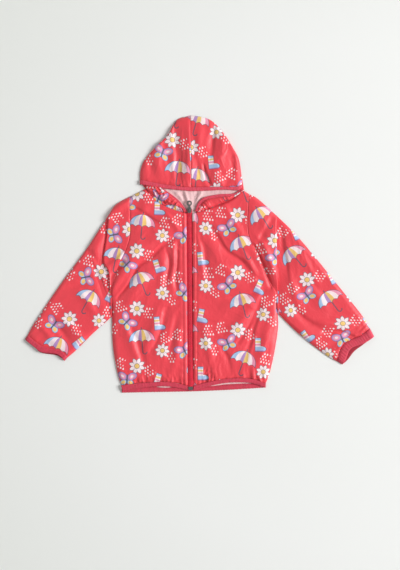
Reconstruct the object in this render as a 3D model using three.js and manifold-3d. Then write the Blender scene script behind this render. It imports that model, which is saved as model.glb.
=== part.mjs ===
// A child's hooded rain jacket, zipped shut and laid flat on its back, in millimetres.
// +Z points up from the surface it lies on, +Y from the hem to the hood, +X to the wearer's left.
// The origin is in the middle of the jacket's outline, on that surface.
// "Right" and "left" in every name are the wearer's own: the right sleeve lies on the -X side.
import * as THREE from "three";
import { mergeVertices } from "three/addons/utils/BufferGeometryUtils.js";
import Module from "manifold-3d";

const wasm = await Module();
wasm.setup();

// Cloth and clearances
const CLOTH = 1.8; // shell cloth with the lining behind it
const BACK = 1.2; // the back's shell, pressed flat
const LINING = 1.0; // the jersey lining where it shows
const BINDING = 2.4; // elastic binding, folded round an edge
const SEAM = 0.35; // gap between two pieces that are sewn together
const FOLD_Z = 1.7; // height of the outermost line of a folded edge
const FOLD_IN = 2.0; // from a folded edge to the hollow inside it
const HOLLOW_Z = 1.95; // height of the hollow's outermost line
const HOLLOW_MIN = 2.2; // the lowest the hollow's upper face comes down to
const ROLL = 15; // how far in from an edge the cloth has risen to its full height

// Heights of the upper faces
const BODY_TOP = 7.0;
const SEAM_TOP = 3.3; // where a front is sewn to the back at the side and the shoulder
const HEM_TOP = 5.6;
const PLACKET_TOP = 6.6; // beside the zip
const SLEEVE_TOP = 6.6;
const TUCKED_TOP = 4.5; // the sleeve where it slips under its own pleat
const HOOD_TOP = 7.0;
const THROAT_TOP = 7.4;

// Grid sizes
const SIDE_ROWS = 8; // along a side seam
const UNDER_ROWS = 4; // where the body's edge lies over the sleeve
const ARM_ROWS = 10; // round the armhole
const NECK_COLUMNS = 13; // along a front's neck seam
const SHOULDER_COLUMNS = 5;
const SLEEVE_ROWS = 9; // from the cuff to the pleat
const CAP_ROWS = 3; // from the pleat to the armhole
const HOOD_COLUMNS = 10;
const HOOD_ROWS = 10;

// Zip, slider and pull tab
const ZIP = { bottom: -299, top: 89, drift: 2.8, x: -19.6, half: 6.5 };
const TAPE = { half: 9.3, end: 6, thick: 0.8, z: 3.6, low: -300, high: 99 };
const CHAIN = { half: 2.8, thick: 1.6, z: 4.7, low: -290.4, high: 97 };
const STOP = { y: -294.8, half: 4.75, length: 7.6, z: 4.7, thick: 2.2 };
const SLIDER = { y: 96, length: 12, half: 4.75, nose: 3, z: 6.6, plate: 1.3 };
const BRIDGE = { half: 1.1, window: 1.6, reach: 3.0, rise: 2.6, top: 1.2 };
const TAB = { bar: 0.7, thick: 1.2, half: 3.1, slot: 1.6, slotEnd: 4.4, neck: 2.1, ring: 6, hole: 2.7, at: 15 };

// Each side's edge: up the side seam, on along the sleeve under it, and round the armhole
const RIGHT_BODY = {
  side: [
    { x: -172, y: -288 },
    { x: -180, y: -263 },
    { x: -188, y: -222 },
    { x: -192, y: -181 },
    { x: -192.5, y: -137 },
  ],
  under: [
    { x: -192.5, y: -137 },
    { x: -192.5, y: -77 },
  ],
  armhole: [
    { x: -192.5, y: -77 },
    { x: -177, y: -24 },
    { x: -162, y: 9 },
    { x: -153, y: 42 },
    { x: -153, y: 86 },
    { x: -154, y: 126 },
  ],
  shoulder: [
    { x: -154, y: 126 },
    { x: -118, y: 144 },
  ],
  neck: [
    { x: -118, y: 144 },
    { x: -97, y: 118 },
    { x: -67, y: 101 },
    { x: -28.9, y: 89 },
  ],
  hem: [
    { x: -172, y: -288 },
    { x: -125, y: -282.5 },
    { x: -68, y: -280.5 },
    { x: -26.2, y: -289 },
  ],
  bound: [
    { x: -169, y: -300 },
    { x: -125, y: -293 },
    { x: -70, y: -291 },
    { x: -26.2, y: -299 },
  ],
};
const LEFT_BODY = {
  side: [
    { x: 145.5, y: -284 },
    { x: 152, y: -268 },
    { x: 160, y: -238 },
    { x: 168, y: -196 },
    { x: 173, y: -157 },
    { x: 171.5, y: -129 },
  ],
  under: [
    { x: 171.5, y: -129 },
    { x: 168.5, y: -84 },
  ],
  armhole: [
    { x: 168.5, y: -84 },
    { x: 151, y: -55 },
    { x: 135, y: -18 },
    { x: 118, y: 15 },
    { x: 107, y: 46 },
    { x: 106, y: 86 },
    { x: 109, y: 132 },
  ],
  shoulder: [
    { x: 109, y: 132 },
    { x: 98, y: 139 },
  ],
  neck: [
    { x: 98, y: 139 },
    { x: 71, y: 121 },
    { x: 37, y: 106 },
    { x: 12, y: 96 },
    { x: -15.9, y: 89 },
  ],
  hem: [
    { x: 145.5, y: -284 },
    { x: 112, y: -273.5 },
    { x: 66, y: -273 },
    { x: 22, y: -280 },
    { x: -13.2, y: -289 },
  ],
  bound: [
    { x: 144, y: -294 },
    { x: 112, y: -283.5 },
    { x: 66, y: -282.5 },
    { x: 26, y: -289 },
    { x: -13.2, y: -299 },
  ],
};
const BACK_HEM = [
  { x: -171, y: -295.5 },
  { x: -101, y: -294 },
  { x: -19, y: -292.5 },
  { x: 66, y: -290 },
  { x: 145.5, y: -285.5 },
];
const BACK_BOUND = [
  { x: -171, y: -305 },
  { x: -101, y: -303.5 },
  { x: -19, y: -302 },
  { x: 66, y: -298.5 },
  { x: 145.5, y: -293.5 },
];
const BACK_NECK = {
  right: [
    { x: -118, y: 144 },
    { x: -70, y: 132 },
    { x: -18, y: 128.5 },
  ],
  left: [
    { x: -18, y: 128.5 },
    { x: 50, y: 130.5 },
    { x: 98, y: 139 },
  ],
};

// Sleeves: the folded edges, the pleat that falls over the sleeve, and the cuff
const RIGHT_SLEEVE = {
  shoulder: [
    { x: -198, y: 89.5 },
    { x: -183, y: 110 },
  ],
  over: [
    { x: -378, y: -178 },
    { x: -359, y: -145 },
    { x: -302, y: -61 },
    { x: -255, y: 2 },
    { x: -224, y: 49 },
    { x: -198, y: 89.5 },
  ],
  under: [
    { x: -290, y: -227 },
    { x: -271, y: -211 },
    { x: -235, y: -175 },
    { x: -209, y: -152 },
    { x: -195.8, y: -139.6 },
  ],
  pleat: [
    { x: -198, y: 89.5 },
    { x: -204, y: 35 },
    { x: -209.5, y: 0 },
    { x: -209.5, y: -20 },
    { x: -199, y: -38 },
    { x: -195.8, y: -77 },
  ],
  tucked: [
    { x: -195.8, y: -77 },
    { x: -195.8, y: -139.6 },
  ],
  seam: [
    { x: -378, y: -178 },
    { x: -352, y: -200 },
    { x: -330, y: -209 },
    { x: -305, y: -215 },
    { x: -290, y: -227 },
  ],
  cuff: [
    { x: -384, y: -187 },
    { x: -361, y: -206 },
    { x: -347, y: -217 },
    { x: -313, y: -223 },
    { x: -297, y: -235 },
  ],
};
const LEFT_SLEEVE = {
  shoulder: [
    { x: 170, y: 84 },
    { x: 129, y: 121 },
  ],
  over: [
    { x: 374.5, y: -163 },
    { x: 352, y: -128 },
    { x: 290, y: -51 },
    { x: 248, y: 1 },
    { x: 207, y: 48 },
    { x: 170, y: 84 },
  ],
  under: [
    { x: 302, y: -235.5 },
    { x: 284, y: -226 },
    { x: 243, y: -196 },
    { x: 207, y: -165 },
    { x: 174.8, y: -132.6 },
  ],
  pleat: [
    { x: 170, y: 84 },
    { x: 168.5, y: 57 },
    { x: 168.5, y: -10 },
    { x: 170, y: -50 },
    { x: 171.8, y: -83 },
  ],
  tucked: [
    { x: 171.8, y: -83 },
    { x: 174.8, y: -132.6 },
  ],
  seam: [
    { x: 374.5, y: -163 },
    { x: 350, y: -184 },
    { x: 326, y: -201 },
    { x: 311, y: -217 },
    { x: 302, y: -235.5 },
  ],
  cuff: [
    { x: 384, y: -181 },
    { x: 357, y: -201 },
    { x: 340, y: -214 },
    { x: 325, y: -233 },
    { x: 313.5, y: -243 },
  ],
};

// Hood: each half's folded outline, its mouth seam, and the mouth's bound edge
const CROWN = { x: -20, y: 305 };
const RIGHT_HOOD = {
  low: [
    { x: -131, y: 163 },
    { x: -130, y: 184 },
    { x: -120, y: 209 },
    { x: -93, y: 240 },
  ],
  high: [
    { x: -93, y: 240 },
    { x: -70, y: 263 },
    { x: -50, y: 295 },
    CROWN,
  ],
  mouth: [
    { x: -131, y: 163 },
    { x: -80, y: 153 },
    { x: -40, y: 147.5 },
    { x: -18, y: 146.5 },
  ],
  bound: [
    { x: -131, y: 153 },
    { x: -80, y: 144 },
    { x: -43, y: 140 },
    { x: -18, y: 138 },
  ],
  corner: { x: -126, y: 152 },
};
const LEFT_HOOD = {
  low: [
    { x: 93.5, y: 154 },
    { x: 92, y: 175 },
    { x: 86, y: 210 },
    { x: 71, y: 238 },
  ],
  high: [
    { x: 71, y: 238 },
    { x: 56, y: 262 },
    { x: 31, y: 290 },
    { x: 8, y: 301 },
    CROWN,
  ],
  mouth: [
    { x: 93.5, y: 154 },
    { x: 82, y: 148 },
    { x: 30, y: 147 },
    { x: -18, y: 146.5 },
  ],
  bound: [
    { x: 93, y: 146 },
    { x: 84, y: 139.5 },
    { x: 56, y: 141 },
    { x: 21, y: 139 },
    { x: -18, y: 138 },
  ],
  corner: { x: 96, y: 146 },
};

// The neck opening: the hood's bound front edge on each side, from the mouth down to the zip
const RIGHT_THROAT = {
  edge: [
    { x: -79, y: 142.6 },
    { x: -62, y: 131 },
    { x: -48, y: 120 },
    { x: -38, y: 109 },
    { x: -30.5, y: 98 },
    { x: -28.4, y: 92 },
  ],
  seam: [
    { x: -89, y: 144.2 },
    { x: -69, y: 127 },
    { x: -55, y: 115 },
    { x: -45, y: 105 },
    { x: -38, y: 97 },
    { x: -35.5, y: 92.6 },
  ],
  top: { x: -117, y: 149.4 }, // the upper end of its neck seam, under the mouth
  steps: 12, // of the front's neck seam, as far as the foot of the opening
};
const LEFT_THROAT = {
  edge: [
    { x: 91.5, y: 142.4 },
    { x: 83, y: 136.6 },
    { x: 73, y: 132.5 },
    { x: 43, y: 131 },
    { x: 12, y: 125 },
    { x: 1, y: 117.5 },
    { x: -5.5, y: 108 },
    { x: -10.5, y: 93 },
  ],
  seam: [
    { x: 95, y: 138.6 },
    { x: 85, y: 132.6 },
    { x: 72, y: 125.4 },
    { x: 45, y: 123 },
    { x: 18, y: 117.5 },
    { x: 8, y: 111 },
    { x: 3, y: 104 },
    { x: -2, y: 93.6 },
  ],
  steps: 11,
};

// The largest folds, each a soft ridge or trough from one point to another
const FOLDS = [
  { x0: -168, y0: -81, x1: -47, y1: 42, rise: -1.5, half: 8 },
  { x0: -172, y0: -62, x1: -70, y1: 46, rise: 1.1, half: 11 },
  { x0: -196, y0: -22, x1: -160, y1: 2, rise: 1.2, half: 9 },
  { x0: -60, y0: -66, x1: -40, y1: 38, rise: -1.0, half: 8 },
  { x0: -112, y0: -190, x1: -84, y1: -110, rise: 1.0, half: 11 },
  { x0: -64, y0: -214, x1: -50, y1: -140, rise: -1.0, half: 9 },
  { x0: 122, y0: 14, x1: 150, y1: -62, rise: -1.5, half: 8 },
  { x0: 45, y0: 46, x1: 124, y1: -50, rise: -1.2, half: 9 },
  { x0: 30, y0: 20, x1: 92, y1: -62, rise: 1.0, half: 11 },
  { x0: 34, y0: -120, x1: 92, y1: -180, rise: 1.0, half: 11 },
  { x0: 126, y0: -128, x1: 96, y1: -214, rise: -1.0, half: 10 },
  { x0: -300, y0: -150, x1: -262, y1: -176, rise: 1.0, half: 10 },
  { x0: -285, y0: -70, x1: -240, y1: -40, rise: -0.9, half: 10 },
  { x0: 277, y0: -168, x1: 345, y1: -172, rise: -1.2, half: 9 },
  { x0: 236, y0: -40, x1: 268, y1: -110, rise: 0.9, half: 11 },
  { x0: -50, y0: 250, x1: -48, y1: 168, rise: 1.2, half: 9 },
  { x0: -32, y0: 235, x1: -30, y1: 170, rise: -1.4, half: 8 },
  { x0: 48, y0: 266, x1: 40, y1: 186, rise: 1.0, half: 10 },
  { x0: 20, y0: 184, x1: 26, y1: 158, rise: -1.2, half: 8 },
  { x0: -100, y0: 132, x1: -52, y1: 104, rise: 1.0, half: 6 },
  { x0: 62, y0: 118, x1: 20, y1: 108, rise: -1.0, half: 5 },
];
const GATHERS = { pitch: 22, rise: 0.6, reach: 36 }; // small pleats drawn up by the hem's elastic

const FINISH = {
  shell: { color: 0xe44a56, roughness: 0.5, metalness: 0 },
  binding: { color: 0xcf3f55, roughness: 0.75, metalness: 0 },
  lining: { color: 0xf0dedb, roughness: 0.85, metalness: 0 },
  tape: { color: 0xc52f48, roughness: 0.8, metalness: 0 },
  chain: { color: 0xb32840, roughness: 0.45, metalness: 0 },
  metal: { color: 0x6d6a66, roughness: 0.35, metalness: 0.9 },
};

const clamp01 = (t) => Math.min(1, Math.max(0, t));
const smooth = (t) => clamp01(t) ** 2 * (3 - 2 * clamp01(t));
const mix = (a, b, t) => a + (b - a) * t;
const between = (a, b, t) => ({ x: mix(a.x, b.x, t), y: mix(a.y, b.y, t) });
const apart = (a, b) => Math.hypot(a.x - b.x, a.y - b.y);
const even = (t) => t;
const CROWDING = 0.7; // how much closer together points are near a folded edge
const bothEnds = (t) => mix(t, (1 - Math.cos(Math.PI * t)) / 2, CROWDING);
const nearStart = (t) => mix(t, 1 - Math.cos((Math.PI * t) / 2), CROWDING);
const nearEnd = (t) => mix(t, Math.sin((Math.PI * t) / 2), CROWDING);
const spread = (count, f) => Array.from({ length: count + 1 }, (_, i) => f(i / count));

// Points along a smooth line through the rows of a table
function sampled(table, count, spacing = even) {
  const curve = new THREE.SplineCurve(table.map(({ x, y }) => new THREE.Vector2(x, y)));
  return spread(count, (t) => {
    const { x, y } = curve.getPointAt(spacing(t));
    return { x, y };
  });
}

// Several runs of points as one, without the doubled point where two of them meet
const chained = (...runs) => runs.flatMap((run, i) => (i === 0 ? run : run.slice(1)));

// A line moved sideways, to the right of the way it runs
function outset(points, distance) {
  return points.map((p, i) => {
    const before = points[Math.max(0, i - 1)];
    const after = points[Math.min(points.length - 1, i + 1)];
    const length = apart(before, after);
    return {
      x: p.x + ((after.y - before.y) / length) * distance,
      y: p.y - ((after.x - before.x) / length) * distance,
    };
  });
}

// The point at a share of the way through a run of points
const along = (points) => (t) => {
  const place = clamp01(t) * (points.length - 1);
  const i = Math.min(Math.floor(place), points.length - 2);
  return between(points[i], points[i + 1], place - i);
};

// The patch between four lines. West and east run northwards, and south and north run eastwards.
function patch({ west, east, south, north }) {
  const [w, e, s, n] = [west, east, south, north].map(along);
  return (u, v) => {
    const [sides, ends] = [between(w(v), e(v), u), between(s(u), n(u), v)];
    const corners = between(between(s(0), s(1), u), between(n(0), n(1), u), v);
    return { x: sides.x + ends.x - corners.x, y: sides.y + ends.y - corners.y };
  };
}

// What the folds add at a point
function folds({ x, y }) {
  return FOLDS.reduce((z, { x0, y0, x1, y1, rise, half }) => {
    const [dx, dy] = [x1 - x0, y1 - y0];
    const t = clamp01(((x - x0) * dx + (y - y0) * dy) / (dx * dx + dy * dy));
    const away = Math.hypot(x - x0 - t * dx, y - y0 - t * dy) / half;
    return z + rise * Math.exp(-away * away) * Math.sin(Math.PI * mix(0.15, 0.85, t));
  }, 0);
}

// How far cloth has risen, from 0 to 1, at a distance in from its edge
const risen = (distance) => 1 - (1 - clamp01(distance / ROLL)) ** 2;

// Triangles are gathered here and joined into one closed surface.
class Skin {
  constructor() {
    this.positions = [];
  }
  triangle(...corners) {
    for (const { x, y, z } of corners) this.positions.push(x, y, z);
  }
  quad(a, b, c, d) {
    this.triangle(a, b, c);
    this.triangle(a, c, d);
  }
  // A grid of points, with its rows from south to north and each row from west to east
  grid(rows, up) {
    for (let j = 0; j + 1 < rows.length; j++)
      for (let i = 0; i + 1 < rows[j].length; i++) {
        const [a, b, c, d] = [rows[j][i], rows[j][i + 1], rows[j + 1][i + 1], rows[j + 1][i]];
        if (up) this.quad(a, b, c, d);
        else this.quad(a, d, c, b);
      }
  }
  // The raw edge between an upper and a lower grid, along one of their sides
  rim(upper, lower, side) {
    const [top, bottom] = [SIDES[side](upper), SIDES[side](lower)];
    for (let i = 0; i + 1 < top.length; i++)
      this.quad(bottom[i], bottom[i + 1], top[i + 1], top[i]);
  }
  geometry() {
    const made = new THREE.BufferGeometry();
    made.setAttribute("position", new THREE.Float32BufferAttribute(this.positions, 3));
    return mergeVertices(made, 1e-3);
  }
}

const SIDES = {
  south: (rows) => rows[0],
  east: (rows) => rows.map((row) => row.at(-1)),
  north: (rows) => [...rows.at(-1)].reverse(),
  west: (rows) => rows.map((row) => row[0]).reverse(),
};

// One sheet of cloth, from the height of its upper face
function sheet(plan, columns, rows, thick, height) {
  const upper = spread(rows, (v) =>
    spread(columns, (u) => {
      const p = plan(u, v);
      return { ...p, z: height(p, u, v) };
    }),
  );
  const lower = upper.map((row) => row.map((p) => ({ ...p, z: p.z - thick })));
  const skin = new Skin();
  skin.grid(upper, true);
  skin.grid(lower, false);
  for (const side of Object.keys(SIDES)) skin.rim(upper, lower, side);
  return skin.geometry();
}

// Two layers of cloth in one piece, joined along the folded sides and open along the others
function folded({ outerTop, innerTop, innerBottom, outerBottom }, open) {
  const skin = new Skin();
  skin.grid(outerTop, true);
  skin.grid(innerTop, false);
  skin.grid(innerBottom, true);
  skin.grid(outerBottom, false);
  for (const side of open) {
    skin.rim(outerTop, innerTop, side);
    skin.rim(innerBottom, outerBottom, side);
  }
  return skin.geometry();
}

// A solid strip through rings of points. Each ring is numbered counterclockwise, seen along the strip.
function bar(rings) {
  const skin = new Skin();
  for (let j = 0; j + 1 < rings.length; j++)
    rings[j].forEach((point, i) => {
      const next = (i + 1) % rings[j].length;
      skin.quad(point, rings[j + 1][i], rings[j + 1][next], rings[j][next]);
    });
  const [first, last] = [rings[0], rings.at(-1)];
  for (let i = 1; i + 1 < first.length; i++) {
    skin.triangle(first[0], first[i], first[i + 1]);
    skin.triangle(last[0], last[i + 1], last[i]);
  }
  return skin.geometry();
}

// A flat binding between two lines that run eastwards, with rounded long edges
function binding(inner, outer, level) {
  const section = [
    { across: 0, up: 0.1 },
    { across: 0.9, up: 0 },
    { across: 1, up: 0.5 },
    { across: 0.86, up: 1 },
    { across: 0.14, up: 1 },
    { across: 0, up: 0.8 },
  ];
  return bar(
    inner.map((a, i) =>
      section.map(({ across, up }) => ({
        ...between(a, outer[i], across),
        z: level(a, i) + up * BINDING,
      })),
    ),
  );
}

// A flat piece cut to an outline
function flat(points, thick, z, holes = []) {
  const corners = (rows) => rows.map(({ x, y }) => new THREE.Vector2(x, y));
  const shape = new THREE.Shape(corners(points));
  shape.holes = holes.map((rows) => new THREE.Path(corners(rows)));
  const made = new THREE.ExtrudeGeometry(shape, { depth: thick, bevelEnabled: false });
  made.translate(0, 0, z);
  made.deleteAttribute("normal");
  made.deleteAttribute("uv");
  return mergeVertices(made, 1e-3);
}

const circle = (x, y, radius, count) =>
  Array.from({ length: count }, (_, i) => ({
    x: x + radius * Math.cos((2 * Math.PI * i) / count),
    y: y + radius * Math.sin((2 * Math.PI * i) / count),
  }));

function toSolid(geometry) {
  return new wasm.Manifold(
    new wasm.Mesh({
      numProp: 3,
      vertProperties: Float32Array.from(geometry.getAttribute("position").array),
      triVerts: Uint32Array.from(geometry.getIndex().array),
    }),
  );
}

function toGeometry(solid) {
  const { vertProperties, triVerts } = solid.getMesh();
  const made = new THREE.BufferGeometry();
  made.setAttribute("position", new THREE.Float32BufferAttribute(vertProperties, 3));
  made.setIndex(new THREE.BufferAttribute(triVerts, 1));
  return made;
}

const group = new THREE.Group();

function add(name, geometry, finish) {
  const mesh = new THREE.Mesh(geometry, new THREE.MeshStandardMaterial(FINISH[finish]));
  mesh.name = name;
  group.add(mesh);
}

// Lines that two or more pieces share, so that their seams stay the same gap apart
function bodyLines(table) {
  const side = sampled(table.side, SIDE_ROWS);
  const under = sampled(table.under, UNDER_ROWS, nearStart);
  const armhole = sampled(table.armhole, ARM_ROWS, nearEnd);
  const columns = SHOULDER_COLUMNS + NECK_COLUMNS;
  return {
    edge: chained(side, under, armhole),
    socket: chained(under, armhole),
    shoulder: sampled(table.shoulder, SHOULDER_COLUMNS),
    neck: sampled(table.neck, NECK_COLUMNS),
    hem: sampled(table.hem, columns),
    bound: sampled(table.bound, columns),
  };
}
const BODY = { right: bodyLines(RIGHT_BODY), left: bodyLines(LEFT_BODY) };
const NECK = {
  right: sampled(BACK_NECK.right, HOOD_COLUMNS - 2),
  left: sampled(BACK_NECK.left, HOOD_COLUMNS - 2),
};
const BOTH = ["right", "left"];
const eastwards = (points) => (points[0].x < points.at(-1).x ? points : [...points].reverse());

// Fronts: from the hem's binding to the shoulder and the neck, and from the side to the zip
function front(side) {
  const lines = BODY[side];
  const hem = eastwards(lines.hem);
  const top = eastwards(chained(lines.shoulder, lines.neck));
  const rows = lines.edge.length - 1;
  const atZip = side === "right" ? 1 : 0;
  const zipEdge = spread(rows, (t) => between(hem.at(-atZip), top.at(-atZip), t));
  const [west, east] = side === "right" ? [lines.edge, zipEdge] : [zipEdge, lines.edge];
  const plan = patch({ west, east, south: hem, north: top });
  const sewn = SIDE_ROWS / rows; // the share of the edge that is side seam
  const shoulder = SHOULDER_COLUMNS / (hem.length - 1);
  const height = (p, u, v) => {
    const inward = side === "right" ? u : 1 - u; // 0 at the side and 1 at the zip
    const fromSide = apart(p, along(lines.edge)(v));
    const fromTop = apart(p, along(top)(u));
    const fromHem = apart(p, along(hem)(u));
    const sideLift = mix(risen(fromSide), 1, smooth((v - sewn) / 0.12));
    const shoulderLift = mix(risen(fromTop), 1, smooth((inward - shoulder) / 0.08));
    const lift = Math.min(sideLift, shoulderLift);
    const placket = smooth((inward - 0.82) / 0.12);
    const gather =
      GATHERS.rise *
      Math.sin((2 * Math.PI * p.x) / GATHERS.pitch) *
      (1 - smooth(fromHem / GATHERS.reach));
    const full = mix(mix(HEM_TOP, BODY_TOP, risen(fromHem)), PLACKET_TOP, placket);
    return mix(SEAM_TOP, full + (folds(p) + gather) * (1 - placket), lift);
  };
  return sheet(plan, hem.length - 1, rows, CLOTH, height);
}

// Sleeves: flat tubes, folded along both edges, open at the armhole and at the cuff
function tube(rows, columns, peakAt) {
  const made = { outerTop: [], innerTop: [], innerBottom: [], outerBottom: [] };
  rows.forEach(({ at, level, tucked }) => {
    const width = apart(at(0), at(1));
    const inset = FOLD_IN / width;
    const points = (inner, z) =>
      spread(columns, (t) => {
        const u = inner ? Math.min(1 - inset, Math.max(inset, t)) : t;
        const p = at(u);
        const onFold = t === 0 || t === 1;
        if (!onFold) return { ...p, z: z(p, u) };
        return { ...p, z: inner ? HOLLOW_Z : FOLD_Z };
      });
    const peak = (p, u) => {
      const lift = Math.min(risen(apart(p, at(0))), risen(apart(p, at(1))));
      return mix(FOLD_Z, peakAt(p, u, level, tucked), lift);
    };
    made.outerTop.push(points(false, peak));
    made.innerTop.push(points(true, (p, u) => Math.max(HOLLOW_MIN, peak(p, u) - CLOTH)));
    made.innerBottom.push(points(true, () => CLOTH));
    made.outerBottom.push(points(false, () => 0));
  });
  return made;
}

function sleeveLines(side) {
  const right = side === "right";
  const table = right ? RIGHT_SLEEVE : LEFT_SLEEVE;
  const columns = UNDER_ROWS + ARM_ROWS;
  const flow = right ? (points) => points : (points) => [...points].reverse();
  // All of these run from the upper folded edge to the lower one before they are turned eastwards.
  const socket = outset(BODY[side].socket, right ? -SEAM : SEAM).reverse();
  const pleat = chained(
    sampled(table.pleat, ARM_ROWS, nearStart),
    sampled(table.tucked, UNDER_ROWS, nearEnd),
  );
  const seam = sampled(table.seam, columns, bothEnds);
  const cap = { over: [...table.shoulder, socket[0]], under: [pleat.at(-1), socket.at(-1)] };
  return { table, columns, flow, socket, pleat, seam, cap, right };
}

function sleeve(side) {
  const { table, columns, flow, socket, pleat, seam, cap, right } = sleeveLines(side);
  const sides = (over, under, count) => {
    const [a, b] = [sampled(over, count), sampled(under, count)];
    return right ? { west: a, east: b } : { west: b, east: a };
  };
  const lower = patch({
    ...sides(table.over, table.under, SLEEVE_ROWS),
    south: flow(seam),
    north: flow(pleat),
  });
  const upper = patch({
    ...sides(cap.over, cap.under, CAP_ROWS * 4),
    south: flow(pleat),
    north: flow(socket),
  });
  const step = 0.05; // how far in from its edge the pleat is at its full height
  const rows = [
    ...spread(SLEEVE_ROWS, (v) => ({ at: (u) => lower(u, v), level: v, tucked: smooth((v - 0.6) / 0.4) })),
    ...spread(CAP_ROWS, (t) => mix(step, 1, t)).map((v) => ({ at: (u) => upper(u, v), level: 1, tucked: 0 })),
  ];
  const layers = tube(rows, columns, (p, u, level, tucked) => {
    const fromOver = right ? u : 1 - u;
    const beside = smooth((fromOver - 0.6) / 0.12); // along the body's edge the sleeve stays tucked
    const held = level === 1 ? Math.max(tucked, beside) : tucked;
    return mix(SLEEVE_TOP, TUCKED_TOP, held) + folds(p) * (1 - held);
  });
  return folded(layers, ["south", "north"]);
}

// Cuffs: short flat tubes of binding between the sleeve's seam and its open edge
function cuff(side) {
  const { table, columns, flow, seam } = sleeveLines(side);
  const edge = sampled(table.cuff, columns, bothEnds);
  const sewn = seam.map((p, i) => between(p, edge[i], SEAM / apart(p, edge[i])));
  const plan = patch({
    west: [flow(edge)[0], flow(sewn)[0]],
    east: [flow(edge).at(-1), flow(sewn).at(-1)],
    south: flow(edge),
    north: flow(sewn),
  });
  const rows = spread(2, (v) => ({ at: (u) => plan(u, v), level: v, tucked: 0 }));
  const layers = tube(rows, columns, (p, u, v) => SLEEVE_TOP + 0.5 * Math.sin(Math.PI * v));
  return folded(layers, ["south", "north"]);
}

// Hood: each half is folded along its outline, and open at the mouth and at the centre seam
function hood(side) {
  const right = side === "right";
  const table = right ? RIGHT_HOOD : LEFT_HOOD;
  const shift = right ? -SEAM / 2 : SEAM / 2;
  const moved = ({ x, y }) => ({ x: x + shift, y });
  const low = sampled(table.low, HOOD_ROWS, nearStart);
  const crown = moved(CROWN);
  const high = sampled([...table.high.slice(0, -1), crown], HOOD_COLUMNS);
  const mouth = sampled([...table.mouth.slice(0, -1), moved(table.mouth.at(-1))], HOOD_COLUMNS, nearStart);
  const neck = outset(NECK[side], -SEAM);
  const inner = right ? neck.length - 1 : 0;
  neck[inner] = { x: table.mouth.at(-1).x + shift, y: neck[inner].y };
  const under = right ? [low[0], table.corner, ...neck] : [...neck, table.corner, low[0]];
  const plan = (south) => {
    const seamFoot = right ? south.at(-1) : south[0];
    const seam = spread(HOOD_ROWS, (t) => between(seamFoot, crown, t));
    const [west, east] = right ? [low, seam] : [seam, low];
    return patch({ west, east, south, north: eastwards(high) });
  };
  const [upper, lower] = [plan(eastwards(mouth)), plan(under)];
  const wide = apart(mouth[0], mouth.at(-1));
  const tall = apart(mouth.at(-1), crown);
  const layer = (inside, above) =>
    spread(HOOD_ROWS, (t) => nearEnd(t)).map((v0, j) =>
      spread(HOOD_COLUMNS, even).map((u0, i) => {
        const fromFold = right ? u0 : 1 - u0;
        const inset = inside ? mix(FOLD_IN / wide, 1, fromFold) : fromFold;
        const u = right ? inset : 1 - inset;
        const v = inside ? mix(0, 1 - FOLD_IN / tall, v0) : v0;
        const onFold = fromFold === 0 || j === HOOD_ROWS;
        const p = onFold || above ? upper(u, v) : lower(u, v);
        if (onFold) return { ...p, z: inside ? HOLLOW_Z : FOLD_Z };
        if (!above) return { ...p, z: inside ? CLOTH : 0 };
        const lift = Math.min(risen(apart(p, along(low)(v))), risen(apart(p, along(eastwards(high))(u))));
        const z = mix(FOLD_Z, HOOD_TOP + folds(p), lift);
        return { ...p, z: inside ? Math.max(HOLLOW_MIN, z - CLOTH) : z };
      }),
    );
  const layers = {
    outerTop: layer(false, true),
    innerTop: layer(true, true),
    innerBottom: layer(true, false),
    outerBottom: layer(false, false),
  };
  return folded(layers, ["south", right ? "east" : "west"]);
}

// The hood's sides below the mouth, crumpled between the neck's seam and the neck's binding
function throat(side) {
  const right = side === "right";
  const table = right ? RIGHT_THROAT : LEFT_THROAT;
  const { steps } = table;
  const seam = outset(BODY[side].neck, right ? -SEAM : SEAM).slice(0, steps + 1).reverse();
  const edge = outset(sampled(table.seam, steps), right ? SEAM : -SEAM).reverse();
  if (table.top) seam[seam.length - 1] = table.top;
  const plan = patch({
    west: right ? seam : edge,
    east: right ? edge : seam,
    south: right ? [seam[0], edge[0]] : [edge[0], seam[0]],
    north: right ? [seam.at(-1), edge.at(-1)] : [edge.at(-1), seam.at(-1)],
  });
  const rows = seam.length - 1;
  return sheet(plan, 4, rows, CLOTH, (p, u) => THROAT_TOP + folds(p) + 0.7 * Math.sin(Math.PI * u));
}

// Tapes: each reaches under its front and narrows at both ends
function tape(side) {
  const sign = side === "right" ? -1 : 1;
  const at = (y, reach) => ({ x: zipX(y) + sign * reach, y });
  const outline = [
    at(TAPE.low, 0.2),
    at(TAPE.low, TAPE.end),
    at(-286, TAPE.end),
    at(-286, TAPE.half),
    at(87, TAPE.half),
    at(87, TAPE.end),
    at(TAPE.high, TAPE.end),
    at(TAPE.high, 0.2),
  ];
  return flat(outline, TAPE.thick, TAPE.z);
}

function zipX(y) {
  return ZIP.x - (ZIP.drift * (y - ZIP.bottom)) / (ZIP.top - ZIP.bottom);
}

function chain() {
  const at = (y, reach) => ({ x: zipX(y) + reach, y });
  const { low, high, half } = CHAIN;
  return flat([at(low, -half), at(low, half), at(high, half), at(high, -half)], CHAIN.thick, CHAIN.z);
}

function bottomStop() {
  const { y, half, length, thick, z } = STOP;
  const x = zipX(y);
  const cut = 1;
  const outline = [
    { x: x - half + cut, y: y - length / 2 },
    { x: x + half - cut, y: y - length / 2 },
    { x: x + half, y: y - length / 2 + cut },
    { x: x + half, y: y + length / 2 },
    { x: x - half, y: y + length / 2 },
    { x: x - half, y: y - length / 2 + cut },
  ];
  return flat(outline, thick, z);
}

// Slider: a plate with a narrow nose, and the bridge that holds the pull tab
const SLIDER_X = zipX(SLIDER.y);
const TAB_Z = SLIDER.z + SLIDER.plate + BRIDGE.rise / 2;

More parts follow.
